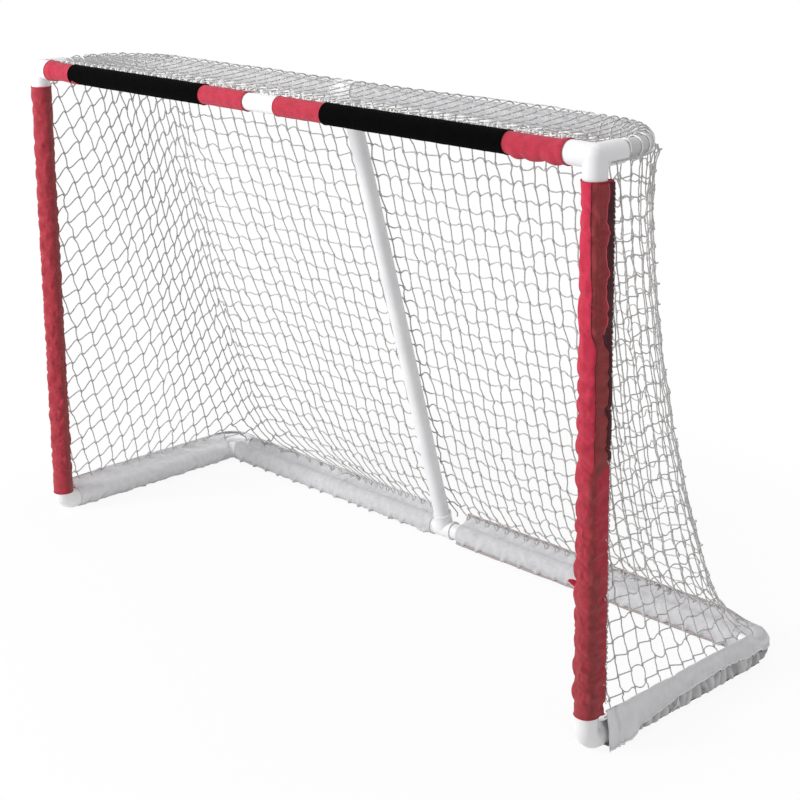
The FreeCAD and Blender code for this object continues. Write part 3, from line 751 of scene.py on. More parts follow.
def upright(column):
    """A taut strand from the foot to the head of the net."""
    panel = panel_of(column)
    on_rear = panel is rear
    row = 0
    knots = []
    while True:
        s, z, out = knot(column, row)
        if z > NET_HEAD + 0.02:
            break
        if z > NET_FOOT - 0.02:
            knots.append((s, z, out))
        row += 1
    foot_z = NET_FOOT - (0.016 if abs(abs(column) * STEP - 0.84) < 0.18 else 0.008)
    head_z = Z_TURN if on_rear else SELVEDGE_Z
    trail = [(strand_s(column, foot_z), foot_z, -0.0035, 1.0)]
    for s, z, out in knots:
        if z < foot_z + 0.006 or z > head_z - 0.006:
            continue
        low = trail[-1][1]
        parts = 4 if low < NET_FOOT + 0.12 else 2
        for n in range(1, parts):
            w = low + (z - low) * n / parts
            trail.append((strand_s(column, w) + draw.gauss(0, 0.0006), w, 0.5 * out, 0.95))
        trail.append((s, z - HALF_KNOT * 1.25, out, 1.0))
        trail.append((s + 0.0005, z - HALF_KNOT * 0.6, out, KNOT))
        trail.append((s - 0.0005, z + HALF_KNOT * 0.6, out, KNOT))
        trail.append((s, z + HALF_KNOT * 1.25, out, 1.0))
    trail.append((strand_s(column, head_z), head_z, 0.0 if on_rear else SELVEDGE_IN, 1.0))
    run = []
    for s, z, out, radius in trail:
        if inside(s, z):
            run.append((net_place(s, z, out), radius))
        elif run:
            # the strand meets the post
            run.append((net_place(math.copysign(half_girth(z) + 0.004, s), z), 1.0))
            break
    panel.run(run)


for column in range(-COLUMNS, COLUMNS + 1):
    upright(column)
print("taut strands:", [len(panel.data.splines) for panel in (rear, left, right)])

# %% [markdown]
# Slack bars
# A bar joins two neighbouring knots. It is a little longer than the gap, so it hangs in an arch, bends
# the other way, or makes an S. Which one is left to chance, as the twine's own twist would decide it.

# %% Slack bars
BAR_LENGTH = 0.0425


def sag_shape(kind, u):
    """Side shift of a slack bar at a share of its length: (up, out)."""
    arch = math.sin(math.pi * u)
    if kind < 0.34:
        return arch, 0.25 * arch
    if kind < 0.56:
        return -arch, 0.25 * arch
    if kind < 0.80:
        return 0.55 * math.sin(math.tau * u), 0.3 * arch
    if kind < 0.92:
        return 0.35 * arch, 0.9 * arch
    return 0.15 * math.sin(3 * math.pi * u), 0.15 * arch


def crossing(first, second, place_of, limit, ease=1.0):
    """A slack bar between two knots, as points on the net."""
    s0, z0, out0 = first
    s1, z1, out1 = second
    z0 -= HALF_KNOT * 0.7
    z1 += HALF_KNOT * 0.7
    chord = math.hypot(s1 - s0, z1 - z0)
    slack = max(BAR_LENGTH ** 2 - chord ** 2, 0.0) ** 0.5 * 0.46
    slack = min(max(slack, 0.0010), 0.0085) * ease
    kind = draw.random()
    size = slack * draw.uniform(0.75, 1.1)
    climb = min(abs(z1 - z0) / 0.020, 1)
    run = []
    steps = 6
    for n in range(steps + 1):
        u = n / steps
        up, out = sag_shape(kind, u)
        s = s0 + (s1 - s0) * u
        # a bar that climbs leaves its knots level and is steep in the middle
        rise = u + 0.75 * climb * (u * u * (3 - 2 * u) - u)
        z = z0 + (z1 - z0) * rise + up * size
        if not limit(s, z):
            if run:
                break
            continue
        run.append((place_of(s, z, out0 + (out1 - out0) * u + out * size), 1.0))
    return run


def slack_bars(column):
    """The bars that join one column to the next."""
    panel = panel_of(column) if abs(column) > abs(column + 1) else panel_of(column + 1)
    step = row_offset(column + 1) - row_offset(column)
    head = Z_TURN if panel is rear else SELVEDGE_Z - 0.002

    def on_net(s, z):
        return NET_FOOT - 0.008 < z < head and inside(s, z)

    for row in range(-6, 36):
        first = knot(column, row)
        second = knot(column + 1, row + step)
        if max(first[1], second[1]) < NET_FOOT or min(first[1], second[1]) > head:
            continue
        panel.run(crossing(first, second, net_place, on_net))


for column in range(-COLUMNS, COLUMNS):
    slack_bars(column)
for side, panel in ((-1, left), (1, right)):
    # the sides end in a stouter cord under the top rail, which the lacing holds
    start = abs(column_head[side * REAR_COLUMNS])
    finish = half_girth(SELVEDGE_Z)
    panel.run([(net_place(side * (start + (finish - start) * n / 90), SELVEDGE_Z,
                          SELVEDGE_IN + 0.0008 * math.sin(n * 1.9)), 1.35) for n in range(91)])
print("strands and bars:", [len(panel.data.splines) for panel in (rear, left, right)])

# %% [markdown]
# The roof of the net
# The same strands go over the top rail and forward to the crossbar. They are only a few bars long,
# and their knots stand up from the rail, which gives the goal's top its rough outline.

# %% Roof strands


def roof_x(column):
    """Where one strand lies on the roof."""
    s = column_head[column]
    flat = NET_X - ROUND
    if abs(s) < flat:
        return s
    angle = min((abs(s) - flat) / ROUND, math.pi / 2)
    return math.copysign(flat + (ROUND - 0.012) * math.sin(angle), s)


roof_columns = [c for c in range(-COLUMNS, COLUMNS + 1)
                if abs(column_head[c]) < (NET_X - ROUND) + ROUND * math.radians(68)]


def roof_length(x):
    """Length of a roof strand, from the rear net over the rail to the crossbar."""
    return RAIL_ARC + edge_y(x) - FRONT_Y - ROOF_END


def roof_knot(column, row):
    """Where a knot of the roof is: sideways, forward and up."""
    side, along, out = wander(column, row + 500)
    forward = BAR * (row + row_shift[column] % 1) + 0.5 * along
    return roof_x(column) + 0.22 * side, forward, 0.0004 + 0.6 * abs(out)


def on_roof(x, forward):
    """Whether a point lies on the roof."""
    return 0.0 <= forward < roof_length(x)


for column in roof_columns:
    x = roof_x(column)
    length = roof_length(x)
    trail = [(roof_place(x, 0.0), 1.0)]
    row = 0
    last = 0.0
    while True:
        u, forward, out = roof_knot(column, row)
        row += 1
        if forward > length - 0.006:
            break
        if forward < 0.008:
            continue
        while forward - last > 0.016:
            last += 0.010
            trail.append((roof_place(x, last, out * 0.5), 1.0))
        for shift, radius in ((-1.25, 1.0), (-0.6, 1.45), (0.6, 1.45), (1.25, 1.0)):
            trail.append((roof_place(u, forward + HALF_KNOT * shift, out), radius))
        last = forward + HALF_KNOT * 1.25
        x = u
    trail.append((roof_place(roof_x(column), length), 1.0))
    roof.run(trail)

for first, second in zip(roof_columns, roof_columns[1:]):
    step = row_offset(second) - row_offset(first)
    for row in range(-2, 9):
        a = roof_knot(first, row)
        b = roof_knot(second, row + step)
        roof.run(crossing(a, b, roof_place, on_roof, 0.35))
print(len(roof_columns), "strands over the roof,", len(roof.data.splines), "with their bars")

# %% [markdown]
# Lashings
# The net's front edges are whipped to the fins of the post covers, and its roof edge is gathered
# behind the crossbar with a loose white cord. Both are spirals of small turns, a little uneven.

# %% Lashings
LASHING_FOOT, LASHING_HEAD = 0.10, 1.135
FIN_REACH = 0.0368
GATHER_HALF = 0.86


def whipping(panel, start, finish, first, second, pitch, size, seed, thick=0.7):
    """A small uneven spiral from start to finish, turning between two directions."""
    own = random.Random(seed)
    length = (finish - start).length
    turns = int(length / pitch)
    points = []
    for n in range(turns * 6 + 1):
        angle = math.tau * n / 6
        if n % 6 == 0:
            swell = own.uniform(0.75, 1.2)
        place = start + (finish - start) * (n / (turns * 6))
        points.append((place + (first * math.cos(angle) + second * math.sin(angle)) * size * swell, thick))
    panel.run(points)


for side, panel in ((-1, left), (1, right)):
    outward = Vector((side, 1, 0)).normalized()
    fin = Vector((side * POST_X, FRONT_Y, 0)) + outward * FIN_REACH
    whipping(panel, fin + Z * LASHING_FOOT, fin + Z * LASHING_HEAD, outward,
             Vector((-side, 1, 0)).normalized(), 0.0110, 0.0018, 31 + side)
gather = Strands("net_roof_gather", THREAD)
for number in range(2):
    edge = Vector((0, FRONT_Y + 0.0290 - 0.004 * number, TOP_Z + 0.0165 + 0.002 * number))
    whipping(gather, edge - X * GATHER_HALF, edge + X * GATHER_HALF, Y, Z, 0.021 + 0.006 * number,
             0.0060, 40 + number, 1.25)
print("lashings", LASHING_HEAD - LASHING_FOOT, "m long, gathers", 2 * GATHER_HALF, "m long")

# %% [markdown]
# The panels as pieces
# Each panel takes the place of its holed plate in the CAD model, which only stands for it. The
# gathering cord is a piece of its own.

# %% The net's meshes


def as_piece(obj, slot, *stands_for):
    """Puts a finished mesh under the root body and hides the nodes it stands for; its slot is not used."""
    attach(obj, "root")
    if stands_for:
        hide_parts(*stands_for)


for panel, node in ((rear, "net_rear"), (left, "net_left"), (right, "net_right"), (roof, "net_roof")):
    made = panel.piece(net_twine)
    as_piece(made, "net_cord", node)
    made.data.calc_loop_triangles()
    print(panel.name, len(made.data.loop_triangles), "triangles")
as_piece(gather.piece(lacing_twine), "net_cord")

# %% [markdown]
# Cloth from a grid
# Each cover is a strip of fabric that was cut flat and then wrapped. It starts as a flat grid, each
# vertex of which is moved to its place round the tube, and then gets a thickness. The grid's own
# square is kept as the UV map, in metres, so the weave runs along the strip.

# %% Helper for wrapped cloth


def cut_grid(across, along, size, second=False):
    """A flat grid with its UV map in metres, and the shares across and along it of each vertex."""
    cloth = bmesh.new()
    bmesh.ops.create_grid(cloth, x_segments=across, y_segments=along, size=0.5)
    layer = cloth.loops.layers.uv.new("cut")
    painted_shade = cloth.verts.layers.float.new("second") if second else None
    flat = {v: (v.co.x + 0.5, v.co.y + 0.5) for v in cloth.verts}
    for face in cloth.faces:
        face.smooth = True
        for loop in face.loops:
            u, v = flat[loop.vert]
            loop[layer].uv = (u * size[0], v * size[1])
    return cloth, flat, painted_shade


def thicken(obj, thickness):
    """Gives a sheet its thickness, half to each side."""
    wall = obj.modifiers.new("wall", "SOLIDIFY")
    wall.thickness = thickness
    wall.offset = 0


def strip(name, across, along, size, place, thickness, material, second=None):
    """A strip of cloth from a grid: place(u, v) gives the point for shares across and along."""
    cloth, flat, painted_shade = cut_grid(across, along, size, bool(second))
    for vertex, (u, v) in flat.items():
        vertex.co = place(u, v)
        # second(u, v) gives the share of painted shade at each vertex
        if second:
            vertex[painted_shade] = second(u, v)
    cloth.normal_update()
    obj = new_object(name, settled(cloth, name))
    obj.data.materials.append(material)
    thicken(obj, thickness)
    return obj


def piping(name, points, radius, material):
    """A thin roll of cloth or a welt along a line of points."""
    roll = Strands(name, radius)
    roll.run([(place, 1.0) for place in points])
    return roll.piece(material)


# %% [markdown]
# The section of a post cover
# Each post wears a loose sleeve of red fabric that meets behind the post in a fin, where the net's
# edge is caught. Its section is a soft square, because the fabric is creased where it was folded
# flat. Fat folds go round it, and in the upper half of the right one the front panel laps over the
# side. One formula gives its radius from the angle and the height, before anything is pressed.

# %% The section of a post cover
SLEEVE_R = 0.0228
LAP_END = 0.565
FIN_AT = {1: math.pi / 4, -1: 3 * math.pi / 4}
RING = [math.tau * n / 48 for n in range(49)]
SOCKET_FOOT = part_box("front_elbow_right")[1].z
SOCKET_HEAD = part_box("top_corner_right")[0].z
print("sleeves widen over the sockets below", round(SOCKET_FOOT, 3), "and above", round(SOCKET_HEAD, 3))


def over_socket(z):
    """1 where the sleeve lies over the socket of a fitting, and 0 where it lies on the tube."""
    return max(smooth(SOCKET_HEAD - 0.022, SOCKET_HEAD - 0.002, z),
               1 - smooth(SOCKET_FOOT + 0.002, SOCKET_FOOT + 0.022, z))


def read_table(table, z):
    """The columns of a table at one height, smoothed between its rows."""
    for low, high in zip(table, table[1:]):
        if z <= high[0]:
            share = smooth(low[0], high[0], z)
            return [a + (b - a) * share for a, b in zip(low[1:], high[1:])]
    return table[-1][1:]


def panel_lines(z):
    """Where the right cover's side panel, which takes painted shade, starts and ends, in degrees round the
    post.
    """
    table = ((0.04, -50, 7), (0.37, -50, 7), (0.40, -56, -20), (0.575, -56, -20), (0.60, -35, 70),
             (0.83, -37, 70), (0.87, -60, 70), (1.16, -67, 70))
    start, finish = read_table(table, z)
    return start + 5 * drift(z * 24, 2.5, 0), finish + 5 * drift(z * 20, 7.5, 0)


def post_painted_shade(side, place):
    """How much painted shade a post cover takes at a place about its own axis: the right one on its side
    panel and its foot, the left one all over and most on its inner side.
    """
    degrees = math.degrees(math.atan2(place.y, place.x))
    if side < 0:
        return 0.68 + 0.32 * plateau(-14, -6, 50, 70, degrees)
    start, finish = panel_lines(place.z)
    panel = plateau(start - 3, start + 3, finish - 5, finish + 5, degrees)
    return max(panel, 0.85 * (1 - smooth(0.0, 1.25, place.z)))


def fat_folds(angle, side, z):
    """The fat folds of a post cover, with sharp valleys between them, in metres."""
    lean = math.sin(angle + 0.9) if side > 0 else math.sin(angle - 0.6)
    place = z / (0.048 if side > 0 else 0.056) + 0.30 * lean + 0.8 * drift(z * 7, side * 3, 1.7)
    if side > 0:
        height = 0.0036 * (1 - smooth(0.62, 0.92, z)) + 0.0010
    else:
        height = 0.0026 * (1 - smooth(0.8, 1.1, z))
    return height * (abs(math.sin(math.pi * place)) ** 0.75 - 0.55)


def cover_section(angle, side, z):
    """Radius of a post cover at an angle round the post, seen from above, before it is pressed."""
    power = 6.0
    turned = angle if side > 0 else angle + math.pi / 4
    square = 1 / (abs(math.cos(turned)) ** power + abs(math.sin(turned)) ** power) ** (1 / power)
    away = (angle - FIN_AT[side] + math.pi) % math.tau - math.pi
    socket = over_socket(z)
    loose = SLEEVE_R + 0.0014 * (1 - smooth(0.15, 1.0, z))
    loose += (0.0252 - loose) * socket
    flat = 0.62 * (1 - socket) + 0.06
    radius = loose * (1 - flat + flat * square) + 0.0100 * math.exp(-(away / 0.16) ** 2)
    radius += fat_folds(angle, side, z) * (1 - socket) * (1 - math.exp(-(away / 0.5) ** 2))
    if side < 0:
        return radius
    # the front panel stands proud of the side where it laps over it
    front = (angle - math.radians(panel_lines(z)[0]) + math.pi) % math.tau - math.pi
    lap = smooth(0.16, 0.0, front) * smooth(-1.6, -0.8, front)
    return radius + 0.0018 * lap * smooth(LAP_END - 0.02, LAP_END + 0.02, z)


def round_axis(angle, radius, z):
    """A point at an angle and a distance from a post's axis."""
    return Vector((math.cos(angle) * radius, math.sin(angle) * radius, z))


print("a sleeve's radius at half height:", [round(cover_section(angle, 1, 0.6), 4) for angle in RING[::12]])

# %% [markdown]
# Pressing a sleeve The fabric is longer than the post, so it buckles, and a cloth simulation makes
# truer folds of that than a formula. A sleeve that is too long, with the most slack near its foot, is
# pressed down to the post's length while a cylinder stands for the tube. The outcome is kept as a
# plain mesh.

# %% The press
STAND_IN_R = 0.0206
PRESS_FRAMES = 22
MOST_MOVED = 0.011
LEAST_R = 0.0212


def tube_stand_in():
    """A cylinder that the pressed sleeve runs into."""
    shape = bmesh.new()
    bmesh.ops.create_cone(shape, cap_ends=True, segments=32, radius1=STAND_IN_R, radius2=STAND_IN_R,
                          depth=1.3, matrix=Matrix.Translation((0, 0, 0.62)))
    obj = new_object("stand_in", settled(shape, "stand_in"))
    obj.modifiers.new("touch", "COLLISION")
    obj.collision.thickness_outer = 0.001
    obj.collision.cloth_friction = 20
    return obj


def pressed_sleeve(side, foot, head, around, along, seed):
    """The sleeve of one post, centred on its axis: a grid wrapped round, pressed down and set."""
    length = head - foot
    cloth, flat, _ = cut_grid(around, along, (0.175, length))
    for vertex, (u, v) in flat.items():
        angle = FIN_AT[side] + math.tau * u
        z = foot + length * v
        radius = cover_section(angle, side, z)
        radius += 0.0012 * drift(math.cos(angle) * 2, math.sin(angle) * 2, z * 16 + seed)
        vertex.co = round_axis(angle, radius, z)
    bmesh.ops.remove_doubles(cloth, verts=cloth.verts, dist=1e-5)
    mesh = settled(cloth, "sleeve")
    obj = new_object("sleeve", mesh)
    held = obj.vertex_groups.new(name="held")
    wanted = [v.co.copy() for v in mesh.vertices]
    for v in mesh.vertices:
        end = v.co.z < foot + 0.003 or v.co.z > head - 0.003
        fin = abs(math.atan2(v.co.y, v.co.x) - FIN_AT[side]) < 0.10
        held.add([v.index], 1.0 if end else 0.85 if fin else 0.06, "REPLACE")
        drop = (head - v.co.z) / length
        v.co.z = head - length * (drop * 1.02 + 0.045 * drop * drop)
    obj.shape_key_add(name="cut")
    pressed = obj.shape_key_add(name="pressed")
    for place, point in zip(wanted, pressed.data):
        point.co = place
    pressed.value = 0
    pressed.keyframe_insert("value", frame=1)
    pressed.value = 1
    pressed.keyframe_insert("value", frame=PRESS_FRAMES - 4)
    cloth = obj.modifiers.new("cloth", "CLOTH")
    fabric = cloth.settings
    fabric.quality = 7
    fabric.mass = 0.15
    fabric.air_damping = 1
    fabric.tension_stiffness = 60
    fabric.compression_stiffness = 40
    fabric.shear_stiffness = 10
    fabric.bending_stiffness = 14
    fabric.tension_damping = fabric.compression_damping = fabric.shear_damping = 2
    fabric.bending_damping = 0.1
    fabric.vertex_group_mass = "held"
    fabric.effector_weights.gravity = 0
    touch = cloth.collision_settings
    touch.distance_min = 0.001
    touch.collision_quality = 4
    touch.use_self_collision = False
    for frame_number in range(1, PRESS_FRAMES + 1):
        scene.frame_set(frame_number)
    set_mesh = bpy.data.meshes.new_from_object(obj.evaluated_get(bpy.context.evaluated_depsgraph_get()))
    bpy.data.objects.remove(obj)
    scene.frame_set(1)
    for v, place in zip(set_mesh.vertices, wanted):
        moved = v.co - place
        if moved.length > MOST_MOVED:
            v.co = place + moved * (MOST_MOVED / moved.length)
        reach = math.hypot(v.co.x, v.co.y)
        least = LEAST_R + 0.0038 * over_socket(v.co.z)
        if reach < least:
            v.co.x *= least / reach
            v.co.y *= least / reach
    return set_mesh


print("the press takes", PRESS_FRAMES, "frames")

# %% [markdown]
# The open edge of the right cover
# The right cover is a wrap whose edge isn't closed at the top. A dark sheet in a wavy slot between the
# front panel and the side one is painted shade for the inside of the wrap. That sheet, the side panel,
# which takes painted shade, and the rolls along their edges are thin pieces of their own; the dark line
# at the lap is a painted shadow and the lighter red of the lip a painted highlight. Rays find the
# pressed sleeve, so that they lie on its folds.

# %% The open edge
SLOT_SHADE_FOOT = 0.61
SIDE_PANEL_FOOT = 0.86
LIP_FOOT = 0.862
LAP_FOOT = 0.60
TAIL_ANGLE = -2.50
TAIL_Z = 0.349


def side_placket(mesh, axis, head):
    """The open edge of the right cover: a painted lap shadow, a sheet of painted shade, the wavy lip and a
    tab.
    """
    sleeve = BVHTree.FromPolygons([v.co for v in mesh.vertices], [tuple(p.vertices) for p in mesh.polygons])

    def on_sleeve(degrees, z, lift):
        way = level(math.radians(degrees))
        hit = sleeve.ray_cast(axis + Z * z, way, 0.1)[0]
        return (hit if hit else axis + way * 0.026 + Z * z) + way * lift

    def lip(z):
        """Degrees round the post where the side panel's open edge runs."""
        wave = (z / 0.072 + 0.3 * drift(z * 9, 0, 3.3)) % 1
        return 17 * (wave / 0.7 if wave < 0.7 else (1 - wave) / 0.3)

    top = head - 0.003

    def up_from(low, step, steps=1):
        """A height, some steps of the way from low to the top."""
        return low + (top - low) * step / steps

    def slot_shade(u, v):
        z = up_from(SLOT_SHADE_FOOT, v)
        first = -2 + 32 * (1 - smooth(0.82, 0.87, z))
        return on_sleeve(first + (52 - first) * u, z, 0.0013)

    def side_panel(u, v):
        z = up_from(SIDE_PANEL_FOOT, v)
        return on_sleeve(-34 + (lip(z) + 34) * u, z, 0.0008 + 0.0030 * u * u)

    def tail(u, v):
        way = level(TAIL_ANGLE)
        half = 0.0075 * math.sqrt(max(1 - v ** 3, 0))
        rise = half * (2 * u - 1) + 0.010 * v
        return axis + way * (0.0215 + 0.018 * v) + Z * (TAIL_Z + rise) + Y * 0.003 * math.sin(3 * v + u)

    # the dark sheet in the slot is painted shade for the inside of the wrap
    pieces = [strip("post_cover_right_slot_shade", 8, 150, (0.02, 0.54), slot_shade, 0.0008, dark_red_cloth),
              # the side panel's second colour is painted shade, less towards its lip
              strip("post_cover_right_side_panel", 14, 90, (0.03, 0.29), side_panel, 0.0008, post_cloth,
                    lambda u, v: 1 - 0.6 * u ** 6),
              strip("post_cover_right_strap_tail", 4, 8, (0.012, 0.02), tail, 0.0018, post_cloth)]
    heights = [up_from(LIP_FOOT, n, 110) for n in range(111)]
    # the lip's lighter red is a painted highlight
    pieces.append(piping("post_cover_right_lip", [on_sleeve(lip(z), z, 0.0042) for z in heights], 0.0009,
                         painted_highlight_red))
    # a dark line along the lap's edge: painted shadow
    heights = [up_from(LAP_FOOT, n, 140) for n in range(141)]
    pieces.append(piping("post_cover_right_lap_shadow",
                         [on_sleeve(panel_lines(z)[0] + 2.5, z, 0.0004) for z in heights], 0.0008,
                         dark_red_cloth))
    return pieces


# %% [markdown]
# The two post covers
# Now the sleeves are pressed, moved to their posts and finished: they take their painted shade, the wall
# gets its thickness, a level of subdivision rounds the folds, a roll is sewn round each end, and a dark
# strip runs up the fin.

# %% Post covers
RIGHT_RIDE = 0.027


def post_cover(side, word):
    """The loose sleeve of one post, with its hems and its dark binding."""
    low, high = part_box(f"post_cover_{word}")
    # the right one has ridden up its post a little
    foot, head = low.z + (RIGHT_RIDE if side > 0 else 0), high.z
    axis = Vector((side * POST_X, FRONT_Y, 0))
    mesh = pressed_sleeve(side, foot, head, 48, 200, 3.0 if side > 0 else 8.4)
    # the attribute "second" paints shade on the cover
    painted_shade = mesh.attributes.new("second", "FLOAT", "POINT")
    painted_shade.data.foreach_set("value", [post_painted_shade(side, v.co) for v in mesh.vertices])
    for v in mesh.vertices:
        v.co += axis
    mesh.name = f"post_cover_{word}_cloth"
    obj = new_object(mesh.name, mesh)
    one_finish(mesh, post_cloth)
    thicken(obj, 0.0011)
    fine = obj.modifiers.new("fine", "SUBSURF")
    fine.levels = fine.render_levels = 1
    as_piece(obj, "red_cover", f"post_cover_{word}")
    welts = []
    for end, z in (("foot", foot), ("head", head)):
        ring = [axis + round_axis(angle, cover_section(angle, side, z) + 0.0003, z) for angle in RING]
        welts.append(piping(f"post_cover_{word}_{end}_hem", ring, 0.0011, red_cloth))
    outward = Vector((side, 1, 0)).normalized()

    def on_fin(u, v):
        z = foot + 0.40 * (head - foot) + 0.595 * (head - foot) * v
        wobble = 0.0006 * math.sin(z * 300) + 0.0010 * drift(z * 20, side, 0)
        return axis + outward * (0.0300 + 0.0058 * u + wobble) + Z * z

    fin_strip = strip(f"post_cover_{word}_binding", 2, 150, (0.006, 0.6), on_fin, 0.0016, dark_red_cloth)
    trim = welts + [fin_strip] + (side_placket(mesh, axis, head) if side > 0 else [])
    for piece in trim:
        as_piece(piece, "red_cover")
    return obj


stand_in = tube_stand_in()
for side, word in SIDES:
    made = post_cover(side, word)
    print(made.name, len(made.data.vertices), "vertices before the wall")
bpy.data.objects.remove(stand_in)

# %% [markdown]
# A snug sleeve
# The crossbar's sleeves fit closely, so they show only shallow wrinkles across the tube and a rolled
# hem at each end. No simulation is needed for that: two layers of noise are added to the radius, and
# a sleeve that is slack somewhere hangs down and forward there.

# %% The sleeve of a crossbar


def bar_point(x, angle, radius):
    """A point round the crossbar: angle 0 faces the front, a quarter turn is the top."""
    return Vector((x, FRONT_Y - math.cos(angle) * radius, TOP_Z + math.sin(angle) * radius))


def bar_sleeve(name, start, finish, radius_at, material, slot, stands_for, seed, ripple=0.0006, slack=None):
    """A snug sleeve round the crossbar, with a rolled hem at each end."""
    length = finish - start

    def radius_of(x, angle, hem):
        radius = radius_at(x)
        creases = noise.fractal(Vector((angle * 0.9, x * 26, seed)), 0.7, 2.0, 3)
        folds = drift(angle * 0.6 + x * 8, x * 60, seed + 3)
        radius += (ripple * creases + 1.2 * ripple * max(folds, 0)) * smooth(0, 0.02, hem)
        if slack:
            loose = slack(x)
            radius += loose * max(math.sin(-angle - 0.1), 0) ** 0.7 + 0.18 * loose * max(math.cos(angle), 0)
        return radius

    def place(u, v):
        angle = math.pi * 0.75 + math.tau * u
        x = start + length * v
        return bar_point(x, angle, radius_of(x, angle, min(v, 1 - v) * length))

    around = math.tau * radius_at((start + finish) / 2)
    obj = strip(name, 64, max(12, int(length / 0.005)), (around, length), place, 0.0009, material)
    as_piece(obj, slot, stands_for)
    hems = []
    for word, x in (("start", start + 0.0008), ("finish", finish - 0.0008)):
        ring = [bar_point(x, angle, radius_of(x, angle, 0) + 0.0004) for angle in RING]
        hems.append(piping(f"{name}_{word}_hem", ring, 0.0011, material))
        as_piece(hems[-1], slot)
    print(name, round(length, 3), "m long and", round(around, 3), "m round")


# %% [markdown]
# The crossbar covers and the banners
# The left cover widens over the leg of its corner fitting. The right one is pushed a little way over
# the other corner's socket and hangs in lobes beside it. The banners are a second, dark layer.

# %% Crossbar covers and banners
COVER_R = 0.0218
BANNER_R = 0.0236
LOBES_LENGTH = 0.145
left_low, left_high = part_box("crossbar_cover_left")
right_low, right_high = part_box("crossbar_cover_right")


def left_bar_radius(x):
    """The left cover widens over the corner's leg."""
    return COVER_R + 0.0034 * (1 - smooth(0.070, 0.088, x + POST_X))


def right_bar_radius(x):
    """The right cover's end is pushed a little way over the corner's socket."""
    return COVER_R + 0.0036 * smooth(right_high.x - 0.012, right_high.x - 0.001, x)


def right_slack(x):
    """The right cover hangs off the tube in three lobes between the banner and the corner."""
    way = (right_high.x - x) / LOBES_LENGTH
    if not 0 < way < 1:
        return 0.0
    lobe = abs(math.sin(math.pi * (way * 3 + 0.1 * math.sin(way * 9))))
    return 0.0072 * lobe ** 0.6 * smooth(0, 0.1, way) * smooth(1, 0.8, way)


def left_slack(x):
    """The left cover is a little loose beside the corner."""
    way = (x - left_low.x - 0.09) / 0.10
    return 0.0022 * math.sin(math.pi * way) if 0 < way < 1 else 0.0


bar_sleeve("crossbar_cover_left_cloth", left_low.x + 0.026, left_high.x, left_bar_radius, red_cloth,
           "red_cover", "crossbar_cover_left", 2.0, slack=left_slack)
bar_sleeve("crossbar_cover_right_cloth", right_low.x, right_high.x + 0.010, right_bar_radius, red_cloth,
           "red_cover", "crossbar_cover_right", 5.0, slack=right_slack)
for word in ("left", "right"):
    low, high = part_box(f"crossbar_banner_{word}")
    bar_sleeve(f"crossbar_banner_{word}_cloth", low.x, high.x, lambda x: BANNER_R, black_cloth,
               "black_banner", f"crossbar_banner_{word}", 8.0, 0.0004)

# %% [markdown]
# The sections of the base covers
# A grey sleeve wraps each base tube and rises outside it to a hem that holds the foot of the net. Its
# section is a drop: round under the tube, with the point at the hem. The flap that hangs over it, the
# same flap at the rear corner, and the toe under it have sections of their own. Each is a short row of
# (outwards, up) points about the tube's centre line, and a smooth curve runs through them.

# %% The sections of the base covers
HEM_RISE = 0.044
DROP = [(0.0262, HEM_RISE), (0.0200, 0.0352), (0.0040, 0.0256), (-0.0175, 0.0180), (-0.0248, 0.002),
        (-0.0215, -0.0125), (-0.012, -0.0215), (0.0, -0.0228), (0.012, -0.0215),
        (0.0272, -0.0195), (0.0322, -0.0070), (0.0298, 0.011), (0.0272, 0.030), (0.0262, HEM_RISE)]
FLAP = [(0.0268, 0.0425), (0.0276, 0.0465), (0.0286, 0.0470), (0.0298, 0.0440), (0.0316, 0.034),
        (0.0334, 0.022), (0.0349, 0.011), (0.0358, 0.0)]
BOOT = [(-0.014, 0.0225), (-0.003, 0.0275), (0.010, 0.0325), (0.0240, 0.0350), (0.0315, 0.0310),
        (0.0355, 0.0215), (0.0360, 0.0100), (0.0358, 0.0)]
TOE = [(0.002, 0.0250), (0.012, 0.0270), (0.024, 0.0240), (0.0300, 0.0120), (0.0310, 0.0000),
       (0.0285, -0.0120), (0.0180, -0.0205), (0.0020, -0.0232)]
CORNER_R = 0.030
# the right side's hem stands higher than the others, which hides the net's foot there
RIGHT_RISE = 0.014


def along_points(points, u):
    """(outwards, up) at a share of the way through a row of points, on a smooth curve."""
    place = u * (len(points) - 1)
    n = min(int(place), len(points) - 2)
    w = place - n
    p0, p1, p2, p3 = (points[min(max(k, 0), len(points) - 1)] for k in (n - 1, n, n + 1, n + 2))
    return tuple(0.5 * (2 * b + (c - a) * w + (2 * a - 5 * b + 4 * c - d) * w * w
                        + (3 * b - a - 3 * c + d) * w ** 3) for a, b, c, d in zip(p0, p1, p2, p3))


def folded(w, seed, period=0.020):
    """Gathers along a sleeve: -1 in the valleys and 1 on the ridges, unevenly spaced."""
    warp = 0.9 * drift(w * 21, seed, 2.2) + 0.5 * drift(w * 60, seed, 5.2)
    return math.sin(math.tau * (w / period + warp))


print("the hem stands", HEM_RISE, "m over the tube's centre line, and on the right",
      round(HEM_RISE + RIGHT_RISE, 3), "m")

# %% [markdown]
# The gathered sleeve
# The fabric of a base cover is too long for its tube, so it is gathered: outside in upright folds that
# lean to and fro, inside in long slanting ones. They are drawn as waves that swell the section. The
# same waves darken the valleys and the inner folds through the attribute "second", and so does the
# outer face under the flap: painted shade. At the left rear corner the ends are cut on a slant, so the
# two sleeves meet there.

# %% The sleeve of one base tube
HEM_START = 0.0262
LEAST_REACH = 0.0250
SLEEVE_FLOOR = -0.0238


def sunk(to_toe):
    """How far a hem has sunk where its sleeve runs into the toe at the rear corner, as a share."""
    return 0.75 * (1 - smooth(0.0, 0.07, to_toe))


